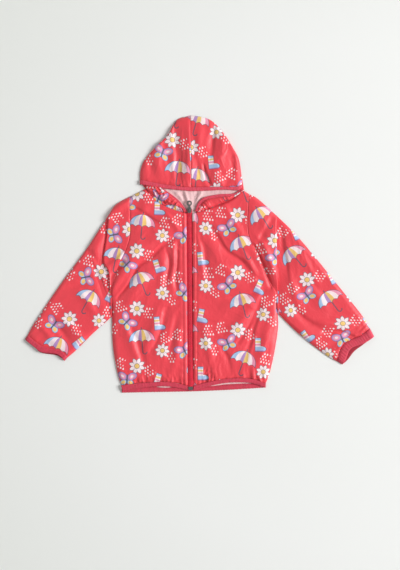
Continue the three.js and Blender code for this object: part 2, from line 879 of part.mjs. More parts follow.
function slider() {
  const { y, length, half, nose, z, plate } = SLIDER;
  const [low, high] = [y - length / 2, y + length / 2];
  const right = [
    { x: nose, y: low },
    { x: nose + 1, y: low + 2.5 },
    { x: half, y: low + 6 },
    { x: half, y: high - 1.5 },
    { x: half - 1.5, y: high },
  ];
  const outline = [...right, ...right.map((p) => ({ x: -p.x, y: p.y })).reverse()];
  const body = flat(
    outline.map((p) => ({ x: p.x + SLIDER_X, y: p.y })),
    plate,
    z,
  );
  const { half: thick, window, reach, rise, top } = BRIDGE;
  const profile = [
    { x: -reach, y: -0.4 },
    { x: -window, y: -0.4 },
    { x: -window, y: rise },
    { x: window, y: rise },
    { x: window, y: -0.4 },
    { x: reach, y: -0.4 },
    { x: reach, y: rise + 0.4 },
    { x: window, y: rise + top },
    { x: -window, y: rise + top },
    { x: -reach, y: rise + 0.4 },
  ];
  const bridge = flat(profile, 2 * thick, -thick);
  bridge.rotateX(Math.PI / 2);
  bridge.rotateZ(Math.PI / 2);
  bridge.translate(SLIDER_X, y, z + plate);
  return toGeometry(wasm.Manifold.union([toSolid(body), toSolid(bridge)]));
}

// Pull tab: its bar passes through the bridge, and its ring lies towards the neck
function pullTab() {
  const { bar: half, thick, half: wide, slot, slotEnd, neck, ring, hole, at } = TAB;
  const [x, y] = [SLIDER_X, SLIDER.y];
  const round = spread(24, (t) => {
    const angle = ((-60 + 300 * t) * Math.PI) / 180;
    return { x: ring * Math.cos(angle), y: at + ring * Math.sin(angle) };
  });
  const outline = [
    { x: -wide, y: -half },
    { x: wide, y: -half },
    { x: wide, y: slotEnd + 1.2 },
    { x: neck, y: slotEnd + 3.4 },
    ...round,
    { x: -neck, y: slotEnd + 3.4 },
    { x: -wide, y: slotEnd + 1.2 },
  ];
  const window = [
    { x: -slot, y: half },
    { x: slot, y: half },
    { x: slot, y: slotEnd },
    { x: -slot, y: slotEnd },
  ];
  const place = (rows) => rows.map((p) => ({ x: p.x + x, y: p.y + y }));
  return flat(place(outline), thick, TAB_Z - thick / 2, [place(window), place(circle(0, at, hole, 18))]);
}

// Back, pressed flat: along both side edges, the armholes, the shoulders and the back of the neck
const backOutline = (hem) => [
  ...hem,
  ...BODY.left.edge,
  ...BODY.left.shoulder.slice(1),
  ...[...NECK.left].reverse().slice(1),
  ...[...NECK.right].reverse().slice(1),
  ...[...BODY.right.shoulder].reverse().slice(1),
  ...[...BODY.right.edge].reverse().slice(1),
];

// Linings: where they show in the neck opening and under the front's hem, and on between the shells
const LINING_IN = 8; // from the shell's edges
const HOOD_LINING = { z: 2.1, rise: 0.5, left: 83, right: -121, high: 178 };

function backLining() {
  const hem = outset(sampled(BACK_HEM, 8), -SEAM).map(({ x, y }) => ({
    x: Math.min(137.5, Math.max(-163.5, x)),
    y,
  }));
  const neck = chained(NECK.right, NECK.left).slice(2, -2).reverse();
  return flat(
    [
      ...hem,
      ...outset(BODY.left.edge, -LINING_IN),
      ...neck.map(({ x, y }) => ({ x, y: y - SEAM / 2 })),
      ...outset(BODY.right.edge, LINING_IN).reverse(),
    ],
    LINING,
    BACK + SEAM,
  );
}

function hoodLining() {
  const { z, rise, left, right, high } = HOOD_LINING;
  const neck = chained(NECK.right, NECK.left).slice(1, -1);
  const low = neck.map(({ x, y }) => ({ x, y: y + rise }));
  const corners = [
    { x: left, y: 158 },
    { x: left, y: high },
    { x: right, y: high },
    { x: right, y: 166 },
    { x: right + 10, y: 151 },
  ];
  return flat([...low, ...corners], LINING, z);
}

// Bindings along the hem, the hood's mouth and the neck opening
const rippled = (z, rise) => (p) => z + rise * Math.sin((2 * Math.PI * p.x) / GATHERS.pitch);

function hemBinding(side) {
  const inner = outset(eastwards(BODY[side].hem), SEAM);
  return binding(inner, eastwards(BODY[side].bound), rippled(3.2, 0.3));
}

function backBinding() {
  return binding(outset(sampled(BACK_HEM, 8), SEAM), sampled(BACK_BOUND, 8), () => 0);
}

function mouthBinding() {
  const run = (table) => eastwards(sampled(table, HOOD_COLUMNS, nearStart));
  const inner = outset(chained(run(RIGHT_HOOD.mouth), run(LEFT_HOOD.mouth)), SEAM);
  const outer = chained(run(RIGHT_HOOD.bound), run(LEFT_HOOD.bound));
  const over = CLOTH + SEAM; // over the hood's under layer at its corners
  return binding(inner, outer, (p) => {
    const d = Math.min(apart(p, inner[0]), apart(p, inner.at(-1)));
    return mix(over, 4.8, risen(d)) + 0.3 * risen(d) * Math.sin((2 * Math.PI * p.x) / GATHERS.pitch);
  });
}

function neckBinding(side) {
  const table = side === "right" ? RIGHT_THROAT : LEFT_THROAT;
  const [edge, seam] = [table.edge, table.seam].map((rows) => eastwards(sampled(rows, table.steps)));
  return binding(edge, seam, rippled(4.8, 0.25));
}

add("back_panel", flat(backOutline(sampled(BACK_HEM, 8)), BACK, 0), "shell");
add("back_lining", backLining(), "lining");
for (const side of BOTH) {
  add(`${side}_front`, front(side), "shell");
  add(`${side}_sleeve`, sleeve(side), "shell");
  add(`${side}_cuff_binding`, cuff(side), "binding");
  add(`${side}_hood`, hood(side), "shell");
  add(`${side}_hood_side`, throat(side), "shell");
  add(`${side}_neck_binding`, neckBinding(side), "binding");
  add(`${side}_hem_binding`, hemBinding(side), "binding");
  add(`${side}_zip_tape`, tape(side), "tape");
}
add("hood_lining", hoodLining(), "lining");
add("mouth_binding", mouthBinding(), "binding");
add("back_hem_binding", backBinding(), "binding");
add("zip_chain", chain(), "chain");
add("zip_bottom_stop", bottomStop(), "metal");
add("zip_slider", slider(), "metal");
add("pull_tab", pullTab(), "metal");

export default group;
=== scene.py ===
"""A child's hooded rain jacket, zipped shut and laid flat on its back: its cloth, bindings and zip.

Tables and heights are in millimetres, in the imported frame: +X to the wearer's left sleeve, +Y to the
hood and +Z up. "Right" and "left" are the wearer's own. Meshes are made in metres.
"""

import math

import bmesh
import bpy
import numpy as np
from bpy.props import FloatProperty, FloatVectorProperty, IntProperty, PointerProperty
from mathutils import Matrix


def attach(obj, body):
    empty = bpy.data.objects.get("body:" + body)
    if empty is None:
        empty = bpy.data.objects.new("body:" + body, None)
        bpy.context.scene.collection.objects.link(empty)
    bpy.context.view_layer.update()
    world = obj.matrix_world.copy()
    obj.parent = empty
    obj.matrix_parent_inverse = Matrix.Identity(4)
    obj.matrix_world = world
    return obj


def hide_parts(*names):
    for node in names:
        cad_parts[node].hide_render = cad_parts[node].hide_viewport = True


bl_info = {
    "name": "Kids Rain Jacket",
    "version": (1, 0, 0),
    "blender": (4, 5, 0),
    "location": "View3D > Sidebar > Rain Jacket",
    "description": "Makes the cloth, bindings and zip of a child's rain jacket laid flat",
    "category": "Object",
}

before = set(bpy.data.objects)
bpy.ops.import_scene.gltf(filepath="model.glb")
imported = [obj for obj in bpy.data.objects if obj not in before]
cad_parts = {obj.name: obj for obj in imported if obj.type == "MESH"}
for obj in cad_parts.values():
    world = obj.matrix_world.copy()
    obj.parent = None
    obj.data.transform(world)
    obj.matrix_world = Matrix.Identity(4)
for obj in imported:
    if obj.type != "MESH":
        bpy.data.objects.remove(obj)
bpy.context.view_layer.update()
BODY = "jacket"
MM = 0.001

# Outlines of the wearer's right and left halves, as tables of (x, y)

RIGHT = {
    "side": [(-172, -288), (-180, -263), (-188, -222), (-192, -181), (-192.5, -137)],
    "under": [(-192.5, -137), (-192.5, -77)],
    "armhole": [(-192.5, -77), (-177, -24), (-162, 9), (-153, 42), (-153, 86), (-154, 126)],
    "shoulder": [(-154, 126), (-118, 144)],
    "neck": [(-118, 144), (-97, 118), (-67, 101), (-28.9, 89)],
    "hem": [(-172, -288), (-125, -282.5), (-68, -280.5), (-26.2, -289)],
    "bound": [(-169, -300), (-125, -293), (-70, -291), (-26.2, -299)],
    "cap": [(-198, 89.5), (-183, 110), (-154, 126)],
    "over": [(-378, -178), (-359, -145), (-302, -61), (-255, 2), (-224, 49), (-198, 89.5)],
    "lower": [(-290, -227), (-271, -211), (-235, -175), (-209, -152), (-195.8, -139.6)],
    "pleat": [(-198, 89.5), (-204, 35), (-209.5, 0), (-209.5, -20), (-199, -38), (-195.8, -77)],
    "tucked": [(-195.8, -77), (-195.8, -139.6)],
    "seam": [(-378, -178), (-352, -200), (-330, -209), (-305, -215), (-290, -227)],
    "cuff": [(-384, -187), (-361, -206), (-347, -217), (-313, -223), (-297, -235)],
    "hood_low": [(-131, 163), (-130, 184), (-120, 209), (-93, 240)],
    "hood_high": [(-93, 240), (-70, 263), (-50, 295), (-20, 305)],
    "mouth": [(-131, 163), (-80, 153), (-40, 147.5), (-18, 146.5)],
    "mouth_edge": [(-131, 153), (-80, 144), (-43, 140), (-18, 138)],
    "corner": [(-131, 163), (-126, 152)],
    "back_neck": [(-118, 144), (-70, 132), (-18, 128.5)],
    "neck_edge": [(-79, 142.6), (-62, 131), (-48, 120), (-38, 109), (-30.5, 98), (-28.4, 92)],
    "neck_seam": [(-89, 144.2), (-69, 127), (-55, 115), (-45, 105), (-38, 97), (-35.5, 92.6)],
}
LEFT = {
    "side": [(145.5, -284), (152, -268), (160, -238), (168, -196), (173, -157), (171.5, -129)],
    "under": [(171.5, -129), (168.5, -84)],
    "armhole": [(168.5, -84), (151, -55), (135, -18), (118, 15), (107, 46), (106, 86), (109, 132)],
    "shoulder": [(109, 132), (98, 139)],
    "neck": [(98, 139), (71, 121), (37, 106), (12, 96), (-15.9, 89)],
    "hem": [(145.5, -284), (112, -273.5), (66, -273), (22, -280), (-13.2, -289)],
    "bound": [(144, -294), (112, -283.5), (66, -282.5), (26, -289), (-13.2, -299)],
    "cap": [(170, 84), (129, 121), (109, 132)],
    "over": [(374.5, -163), (352, -128), (290, -51), (248, 1), (207, 48), (170, 84)],
    "lower": [(302, -235.5), (284, -226), (243, -196), (207, -165), (174.8, -132.6)],
    "pleat": [(170, 84), (168.5, 57), (168.5, -10), (170, -50), (171.8, -83)],
    "tucked": [(171.8, -83), (174.8, -132.6)],
    "seam": [(374.5, -163), (350, -184), (326, -201), (311, -217), (302, -235.5)],
    "cuff": [(384, -181), (357, -201), (340, -214), (325, -233), (313.5, -243)],
    "hood_low": [(93.5, 154), (92, 175), (86, 210), (71, 238)],
    "hood_high": [(71, 238), (56, 262), (31, 290), (8, 301), (-20, 305)],
    "mouth": [(93.5, 154), (82, 148), (30, 147), (-18, 146.5)],
    "mouth_edge": [(93, 146), (84, 139.5), (56, 141), (21, 139), (-18, 138)],
    "corner": [(93.5, 154), (96, 146)],
    "back_neck": [(98, 139), (50, 130.5), (-18, 128.5)],
    "neck_edge": [(91.5, 142.4), (83, 136.6), (73, 132.5), (43, 131), (12, 125), (1, 117.5),
                  (-5.5, 108), (-10.5, 93)],
    "neck_seam": [(95, 138.6), (85, 132.6), (72, 125.4), (45, 123), (18, 117.5), (8, 111),
                  (3, 104), (-2, 93.6)],
}
TABLES = {"right": RIGHT, "left": LEFT}
# How wide a cuff's mouth stands open, and how far down it
MOUTHS = {"right": (4.2, 0.74), "left": (10.5, 0.64)}
BACK_HEM = [
    (-171, -295.5), (-140, -292.6), (-104, -292), (-88, -293), (-66, -293), (-50, -291),
    (-19, -292.5), (27, -290.6), (54, -287.4), (80, -286), (108, -284.6), (145.5, -285.5),
]
BACK_BOUND = [(-171, -305), (-101, -303.5), (-19, -302), (66, -298.5), (145.5, -293.5)]
# The lining behind the back panel, and the hood's in the neck opening
LINING_HEM = [
    (-164, -285), (-120, -287), (-98, -290.5), (-86, -293.4), (-67, -293.4), (-52, -290.5),
    (-19, -291), (27, -290), (54, -286.8), (80, -285.4), (108, -284), (137, -285),
]
LINING_NECK = [(-146, 124), (-108, 137), (-70, 131), (-18, 128), (50, 130), (88, 135), (97, 130)]
HOOD_LINING_FOOT = [
    (-106, 142.5), (-72, 125), (-52, 107), (-40, 95), (-30, 90.5),
    (-12, 90.5), (0, 99), (14, 112), (50, 124), (88, 137.5),
]
HOOD_LINING_TOP = [(-118, 178), (-20, 180), (82, 176)]

# Heights above the floor at which cloth turns over at an edge, folds round, and lies below
EDGE_LEVEL = 1.5
FOLD_LEVEL = 1.7
UNDER_LEVEL = 0.75
# Thicknesses in metres: the back panel and linings, the bindings and tapes, and the cuffs
LAYER = 0.7 * MM
ELASTIC_LAYER = 0.6 * MM
CUFF_LAYER = 0.9 * MM
# How deep a cuff is, and the length of sleeve that its pleat takes up
CUFF_DEPTH = 9.5
PLEAT_DEPTH = 14.0
# The least side of a sheet in metres, and the least share of its cut that it has as its area
LEAST_SIDE = 0.0101
LEAST_SHARE = 0.301

# The size of the print's repeat, where each piece is cut from it, and how far its under layer is from there
REPEAT = 126.0
PRINT_AT = {
    "right_front": (0.0, 0.0),
    "left_front": (31.0, 47.0),
    "back": (17.0, 9.0),
    "right_sleeve": (20.0, 33.0),
    "left_sleeve": (95.0, 12.0),
    "right_hood": (48.4, 71.0),
    "left_hood": (7.5, 88.0),
    "neck": (71.0, 26.0),
}
SLEEVE_SHIFT = (61.0, 61.0)
HOOD_SHIFT = (31.0, 17.0)

# Round a binding from its inner edge, over the top and back below: how far across, and how high
BINDING_SECTION = [
    (0.0, 0.84), (0.1, 0.98), (0.3, 1.0), (0.5, 0.95), (0.7, 1.02), (0.88, 0.92),
    (0.98, 0.6), (1.0, 0.3), (0.86, 0.04), (0.5, 0.0), (0.04, 0.06),
]
# The spacing of a binding's rings, and the pitch and height of its puckers
RING_SPACING = 1.1
PUCKER_PITCH = 6.2
PUCKER_HEIGHT = 0.13

# The zip's tapes and teeth: where they start and end, how far the tapes reach, and their heights
TAPE_ENDS = (-299, 98.5)
TEETH_ENDS = (-289.5, 96)
TAPE_REACH = 9.2
TAPE_END_REACH = 6.0
TAPE_LEVEL = 4.9
TEETH_LEVEL = 5.75
# A small bar, narrower at its top, for the zip's teeth, and the faces of any bar
BAR_CORNERS = np.array([
    (-1, -1, -0.5), (1, -1, -0.5), (1, 1, -0.5), (-1, 1, -0.5),
    (-0.8, -0.7, 0.5), (0.8, -0.7, 0.5), (0.8, 0.7, 0.5), (-0.8, 0.7, 0.5),
])
BAR_FACES = [(3, 2, 1, 0), (4, 5, 6, 7), (0, 1, 5, 4), (1, 2, 6, 5), (2, 3, 7, 6), (3, 0, 4, 7)]
# The spacing of the stitches for each length of one, and the angle above which cast edges are rounded
STITCH_GAP = 1.35
SHARP = math.radians(28)

# The stage, in metres. The camera looks straight down.
CAMERA_PLACE = (0.001, -0.068, 1.6)
LENS = 45.9
SENSOR_WIDTH = 36
# Rings of the floor by radius. It is flat as far as FLAT_FLOOR, and lies a little below the jacket.
FLOOR_RINGS = (0.02, 2, 4.5, 7, 7.8, 8.6, 9.4, 10.2, 11, 11.8, 12.6)
FLAT_FLOOR = 7
FLOOR_DROP = 0.0004
# Lamps aimed at the middle: a name, a place, a size and a power in watts
LAMPS = (("key", (7.0, 0.4, 4.5), 3.3, 850), ("fill", (-2.2, 0.3, 2.6), 2.4, 14))

# What is made once, and the upper faces of the pieces that carry stitches
MADE = {}
SURFACES = {}

# The creases: how high, how wide, how much of that width on the left of the line, and the line
CREASES = [
    (-4.4, 5, 0.45, [(-180, -96), (-157, -64), (-135, -22), (-100, 3), (-62, 36), (-44, 50)]),
    (2.8, 13, 1.0, [(-186, -66), (-162, -36), (-138, 6), (-100, 30), (-64, 64)]),
    (2.2, 14, 1.0, [(-164, -116), (-128, -58), (-94, -26), (-60, 8)]),
    (-2.8, 4.5, 0.7, [(-48, 26), (-49, -10), (-51, -45), (-47, -90)]),
    (1.8, 5, 1.0, [(-60, 34), (-58, -6), (-61, -66)]),
    (-2.0, 4, 1.0, [(-71, 16), (-68, -20), (-74, -66)]),
    (1.6, 8, 1.0, [(-84, 0), (-82, -40), (-88, -86)]),
    (2.6, 13, 0.6, [(-120, -210), (-104, -170), (-86, -110)]),
    (-2.6, 6, 0.7, [(-106, -216), (-90, -178), (-72, -118)]),
    (-2.2, 8, 0.6, [(-70, -230), (-60, -180), (-48, -134)]),
    (1.6, 7, 1.0, [(-54, -252), (-46, -200), (-42, -160)]),
    (2.4, 12, 0.7, [(-168, -136), (-150, -190), (-136, -246)]),
    (-2.0, 7, 1.0, [(-150, -158), (-134, -200), (-118, -248)]),
    (3.2, 8, 0.4, [(-202, -24), (-182, -14), (-158, 8)]),
    (-3.2, 5, 1.0, [(-194, -48), (-178, -30), (-162, -2)]),
    (2.0, 7, 1.0, [(-192, -86), (-180, -60), (-166, -38)]),
    (-2.6, 7, 0.5, [(-148, 104), (-118, 86), (-80, 58)]),
    (2.2, 10, 1.0, [(-142, 50), (-126, 84), (-108, 114)]),
    (2.0, 8, 0.6, [(-76, 90), (-56, 70), (-37, 42)]),
    (1.6, 12, 1.0, [(-146, 24), (-120, 44), (-86, 46)]),
    (-4.8, 5, 0.4, [(118, 22), (134, -6), (146, -36), (156, -72)]),
    (3.4, 8, 1.0, [(130, 36), (149, 2), (165, -50)]),
    (2.6, 9, 0.7, [(98, 4), (116, -36), (134, -90)]),
    (-3.2, 8, 0.5, [(26, 64), (55, 12), (96, -18), (130, -60)]),
    (2.4, 13, 1.0, [(16, 36), (46, -18), (90, -68)]),
    (-2.8, 7, 0.5, [(46, -98), (92, -93), (146, -76)]),
    (1.8, 10, 1.0, [(50, -116), (96, -108), (140, -98)]),
    (-3.0, 7, 0.5, [(82, -192), (106, -158), (122, -127), (138, -86)]),
    (2.4, 10, 1.0, [(62, -184), (90, -148), (110, -116)]),
    (-2.6, 8, 0.5, [(136, -118), (118, -170), (98, -230)]),
    (2.2, 10, 1.0, [(154, -146), (142, -190), (128, -240)]),
    (2.0, 10, 1.0, [(6, -150), (20, -200), (30, -258)]),
    (-2.0, 7, 0.6, [(48, -200), (60, -230), (66, -260)]),
    (1.8, 7, 0.6, [(-6, 64), (0, 10), (8, -46)]),
    (-1.8, 7, 1.0, [(8, 22), (14, -20), (22, -64)]),
    (2.2, 11, 0.6, [(56, 108), (76, 70), (98, 34)]),
    (-1.8, 8, 1.0, [(20, 84), (48, 74), (84, 86)]),
    (2.6, 11, 1.0, [(-214, 42), (-228, 6), (-238, -36)]),
    (-3.2, 8, 0.5, [(-238, -16), (-222, -50), (-206, -102)]),
    (2.4, 12, 0.6, [(-266, -80), (-248, -100), (-224, -136)]),
    (2.6, 11, 0.6, [(-314, -138), (-288, -152), (-254, -186)]),
    (-2.4, 7, 1.0, [(-334, -142), (-310, -160), (-282, -198)]),
    (-2.2, 11, 0.6, [(-292, -70), (-264, -64), (-234, -42)]),
    (2.0, 8, 1.0, [(-354, -156), (-336, -172), (-316, -202)]),
    (2.0, 9, 1.0, [(-150, 118), (-172, 104), (-196, 84)]),
    (-2.0, 8, 1.0, [(-248, 12), (-234, -4), (-222, -28)]),
    (-4.4, 6, 0.4, [(272, -173), (306, -167), (329, -176), (354, -185)]),
    (2.6, 11, 0.7, [(256, -154), (292, -149), (326, -152)]),
    (-3.0, 9, 0.5, [(182, 50), (188, -10), (200, -78)]),
    (2.6, 11, 1.0, [(190, -28), (200, -64), (218, -108)]),
    (2.4, 14, 0.7, [(224, -4), (250, -56), (276, -120)]),
    (-2.2, 8, 1.0, [(236, -38), (256, -70), (282, -102)]),
    (-2.6, 9, 0.6, [(206, -116), (236, -146), (268, -166)]),
    (2.2, 8, 1.0, [(296, -208), (320, -202), (348, -196)]),
    (2.4, 12, 1.0, [(116, 100), (138, 74), (156, 42)]),
    (-2.0, 8, 0.6, [(122, 14), (140, 44), (160, 78)]),
    (-3.0, 4, 3.0, [(-55, 290), (-52, 230), (-51, 155)]),
    (2.6, 12, 0.5, [(-24, 285), (-21, 225), (-20, 160)]),
    (1.4, 5, 1.0, [(-27, 234), (-28, 200), (-31, 160)]),
    (2.4, 13, 0.6, [(-84, 244), (-90, 206), (-94, 168)]),
    (-2.2, 8, 1.0, [(-112, 210), (-104, 190), (-98, 164)]),
    (-1.8, 7, 1.0, [(-72, 230), (-68, 196), (-66, 164)]),
    (-2.8, 8, 0.5, [(30, 292), (31, 256), (27, 218)]),
    (2.4, 13, 0.7, [(54, 266), (52, 224), (43, 182)]),
    (-4.6, 5, 0.4, [(10, 196), (15, 176), (27, 148)]),
    (2.2, 8, 1.0, [(32, 182), (40, 164), (52, 148)]),
    (-2.2, 9, 0.6, [(76, 220), (72, 190), (64, 160)]),
    (2.0, 10, 1.0, [(0, 290), (-2, 240), (-6, 194)]),
    (-1.8, 6, 1.0, [(-6, 204), (-2, 180), (2, 158)]),
    (-3.8, 4.5, 0.5, [(-116, 142), (-88, 118), (-50, 100)]),
    (2.6, 5, 1.0, [(-98, 142), (-72, 124), (-44, 106)]),
    (-4.0, 4.5, 0.5, [(84, 128), (46, 110), (10, 102)]),
    (2.4, 4, 1.0, [(58, 125), (30, 118), (6, 110)]),
]
LINING_FOLDS = [
    (-1.5, 3.6, 1.0, [(-43, 144), (-36, 126), (-29, 104)]),
    (1.7, 3.4, 0.8, [(-34, 143), (-28, 126), (-24, 108)]),
    (-1.3, 3.0, 1.0, [(-3, 143), (-9, 126), (-14, 106)]),
    (1.6, 4.0, 0.7, [(7, 140), (0, 126), (-8, 110)]),
    (1.0, 3.2, 0.7, [(30, 135), (58, 139), (84, 140)]),
    (-1.1, 3.2, 1.0, [(52, 142), (30, 134), (10, 129)]),
    (-1.1, 3.4, 1.0, [(-68, 140), (-55, 130), (-43, 116)]),
    (1.0, 3.4, 1.0, [(-58, 142), (-46, 130), (-38, 118)]),
]
# The way the small creases run: a place, how far it reaches, a direction in degrees, and how strong
FLOWS = [
    (-64, -20, 50, 84, 1.1),
    (-130, 20, 60, 50, 1.0),
    (-120, -150, 80, 70, 0.8),
    (-60, -230, 60, 84, 1.0),
    (-95, 118, 34, -38, 1.1),
    (40, 40, 50, -56, 0.9),
    (115, -10, 55, -62, 1.1),
    (60, -120, 70, -24, 0.9),
    (110, -220, 60, 68, 1.0),
    (20, -240, 40, 86, 1.0),
    (50, 112, 34, 28, 1.1),
    (-215, 10, 45, 80, 0.9),
    (-300, -120, 70, 28, 0.6),
    (-335, -190, 40, 60, 0.8),
    (200, 0, 50, -76, 0.9),
    (285, -120, 70, -16, 0.6),
    (335, -195, 40, -60, 0.8),
    (-85, 220, 55, 78, 0.9),
    (-36, 225, 30, 88, 1.1),
    (40, 230, 60, 96, 0.9),
]


def length(name, description, millimetres):
    """A size in metres, given in millimetres."""
    return FloatProperty(name=name, description=description, default=millimetres * MM, unit="LENGTH")


class JacketSizes(bpy.types.PropertyGroup):
    """Sizes of the cloth and the sewing."""

    cloth: length("Cloth", "Thickness of the shell cloth", 0.5)
    step: length("Mesh step", "Spacing of the cloth's points", 1.9)
    top: length("Body height", "Height of the fronts", 7.0)
    sleeve_top: length("Sleeve height", "Height of the sleeves", 6.6)
    hood_top: length("Hood height", "Height of the hood's upper layer", 7.4)
    crumple: FloatProperty(
        name="Crumple", description="How strongly the cloth is creased", default=1.35, subtype="FACTOR"
    )
    gather: length("Gather", "Pitch of the puckers beside elastic", 7.5)
    stitch: length("Stitch", "Length of one stitch of the topstitching", 2.6)
    tooth: length("Zip pitch", "Spacing of the zip's teeth on one side", 1.5)
    seed: IntProperty(name="Seed", description="Another arrangement of the small creases", default=4)


def colour(name, description, value):
    """A colour that can be picked."""
    return FloatVectorProperty(
        name=name, description=description, default=value, size=3, subtype="COLOR", min=0, max=1
    )


class JacketColours(bpy.types.PropertyGroup):
    """Colours of the cloth, the bindings, the zip and the floor."""

    shell: colour("Shell", "Ground colour of the shell", (0.825, 0.061, 0.083))
    binding: colour("Binding", "Colour of the elastic binding", (0.62, 0.035, 0.075))
    lining: colour("Lining", "Colour of the jersey lining", (0.85, 0.55, 0.56))
    tape: colour("Zip tape", "Colour of the zip's tape", (0.67, 0.006, 0.034))
    chain: colour("Zip teeth", "Colour of the zip's teeth", (0.72, 0.008, 0.040))
    metal: colour("Zip metal", "Colour of the slider, its tab and the stop", (0.235, 0.225, 0.22))
    floor: colour("Floor", "Colour of the surface below", (0.835, 0.84, 0.83))


# Lines and patches


def lengths(line):
    """How far along a line each of its points lies."""
    return np.concatenate([[0], np.cumsum(np.linalg.norm(np.diff(line, axis=0), axis=1))])


def length_of(line):
    """The length of a line."""
    return float(lengths(line)[-1])


def even(line, count):
    """The same line with count + 1 points, evenly spaced."""
    line = np.asarray(line, float)
    along = lengths(line)
    at = np.linspace(0, along[-1], count + 1)
    return np.stack([np.interp(at, along, line[:, k]) for k in range(line.shape[1])], 1)


def run(table, count):
    """Points on a smooth line through a table, count + 1 of them, spaced by length."""
    p = np.array(table, float)
    steps = np.linspace(0, len(p) - 1, 40 * (len(p) - 1) + 1)
    k = np.minimum(steps.astype(int), len(p) - 2)
    t = (steps - k)[:, None]
    p0, p1, p2, p3 = p[np.maximum(k - 1, 0)], p[k], p[k + 1], p[np.minimum(k + 2, len(p) - 1)]
    v0, v1 = (p2 - p0) / 2, (p3 - p1) / 2
    cubic, square = 2 * p1 - 2 * p2 + v0 + v1, -3 * p1 + 3 * p2 - 2 * v0 - v1
    return even(cubic * t**3 + square * t**2 + v0 * t + p1, count)


def chain(*tables):
    """One line along several tables, each smooth in itself, with corners between them."""
    parts = [run(t, 60) for t in tables]
    return np.concatenate([parts[0]] + [p[1:] for p in parts[1:]])


def joined(key, count):
    """One line from the right side's table to the left side's, which meet in the middle."""
    return np.concatenate([run(RIGHT[key], count), run(LEFT[key], count)[::-1][1:]])


def eastwards(line):
    """The same line, turned round if it runs west."""
    return line if line[0][0] < line[-1][0] else line[::-1]


def moved(line, distance):
    """A line moved to the right of the way it runs."""
    d = np.gradient(np.asarray(line, float), axis=0)
    d /= np.maximum(np.linalg.norm(d, axis=1), 1e-9)[:, None]
    return line + distance * np.stack([d[:, 1], -d[:, 0]], 1)


def spanned(west, east, south, north, u):
    """Points between four lines, at the shares u of the way east and even steps north."""
    rows = len(west) - 1
    w, e, s, n = west[:, None], east[:, None], south[None], north[None]
    v, u = np.linspace(0, 1, rows + 1)[:, None, None], u[None, :, None]
    below, above = s[:, :1] * (1 - u) + s[:, -1:] * u, n[:, :1] * (1 - u) + n[:, -1:] * u
    return w * (1 - u) + e * u + s * (1 - v) + n * v - (below * (1 - v) + above * v)


def steps_between(one, other, step):
    """How many steps the longer of two lines takes."""
    return max(2, round(max(length_of(one), length_of(other)) / step))


def patch(west, east, south, north, step=None, counts=None):
    """A grid of points between four lines: rows run northwards, and each row eastwards."""
    rows, columns = counts or (steps_between(west, east, step), steps_between(south, north, step))
    u = np.linspace(0, 1, columns + 1)
    return spanned(even(west, rows), even(east, rows), even(south, columns), even(north, columns), u)


def crowded(west, east, south, north, step, columns=72):
    """A patch whose columns stand closer together near its two long edges."""
    rows = steps_between(west, east, step)
    plain = np.linspace(0, 1, columns + 1)
    u = 0.45 * (0.5 - 0.5 * np.cos(np.pi * plain)) + 0.55 * plain

    def spaced(line):
        dense = even(line, 800)
        return np.stack([np.interp(u * 800, np.arange(801), dense[:, k]) for k in range(2)], 1)

    return spanned(even(west, rows), even(east, rows), spaced(south), spaced(north), u)


def smooth(t):
    """From 0 to 1, level at both ends."""
    t = np.clip(t, 0, 1)
    return t * t * (3 - 2 * t)


def bell(distance, width, power=2):
    """1 at no distance, fading smoothly to 0."""
    return np.exp(-((distance / width) ** power))


def risen(d, roll=13.0):
    """How far cloth has risen at a distance in from its edge, from 0 to 1."""
    return 1 - (1 - np.clip(d / roll, 0, 1)) ** 2.4


def away(grid, line_points):
    """For each point of a grid, its distance from the point of a line beside it."""
    return np.linalg.norm(grid - line_points, axis=-1)


# Creases


def lattice_noise(x, y, size, seed):
    """Smooth noise from -1 to 1, the same on each run."""
    table = np.random.RandomState(seed).uniform(-1, 1, (128, 128))
    gx, gy = x / size + 37.3, y / size + 51.7
    ix, iy = np.floor(gx).astype(int), np.floor(gy).astype(int)
    fx, fy = smooth(gx - ix), smooth(gy - iy)
    ix, iy = ix % 128, iy % 128
    jx, jy = (ix + 1) % 128, (iy + 1) % 128
    low = table[ix, iy] * (1 - fx) + table[jx, iy] * fx
    high = table[ix, jy] * (1 - fx) + table[jx, jy] * fx
    return low * (1 - fy) + high * fy


def sharp_noise(x, y, size, seed, narrow):
    """Thin ridges from 0 to 1 along the lines where the noise crosses zero."""
    return 1 - np.clip(np.abs(lattice_noise(x, y, size, seed)) * narrow, 0, 1)


def from_line(x, y, line):
    """For each point, its distance from a line, positive on the left, and its share of the way."""
    best, side, share = np.full(x.shape, 1e9), np.zeros(x.shape), np.zeros(x.shape)
    for k, (a, b) in enumerate(zip(line[:-1], line[1:])):
        d = b - a
        t = np.clip(((x - a[0]) * d[0] + (y - a[1]) * d[1]) / (d @ d), 0, 1)
        ex, ey = x - a[0] - t * d[0], y - a[1] - t * d[1]
        far = ex * ex + ey * ey
        closer = far < best
        best = np.where(closer, far, best)
        side = np.where(closer, np.sign(d[0] * ey - d[1] * ex + 1e-9), side)
        share = np.where(closer, (k + t) / (len(line) - 1), share)
    return side * np.sqrt(best), share


def creases(x, y, seed):
    """The height that the large and small creases add, in millimetres."""
    z = np.zeros_like(x)
    wx, wy = (3.0 * lattice_noise(x, y, 34, seed + k) for k in (0, 7))
    px, py = x + wx, y + wy
    for rise, half, left, line in CREASES:
        line = run(line, 12)
        low, high = line.min(0) - 3 * half, line.max(0) + 3 * half
        near = (px > low[0]) & (px < high[0]) & (py > low[1]) & (py < high[1])
        if near.any():
            side, t = from_line(px[near], py[near], line)
            width = half * np.where(side > 0, left, 1.0) * (0.8 + 0.4 * t)
            z[near] += rise * bell(side, width) * np.sin(np.pi * (0.12 + 0.76 * t))
    return z + 0.9 * lattice_noise(x, y, 62, seed + 2) + streaks(px, py, seed)


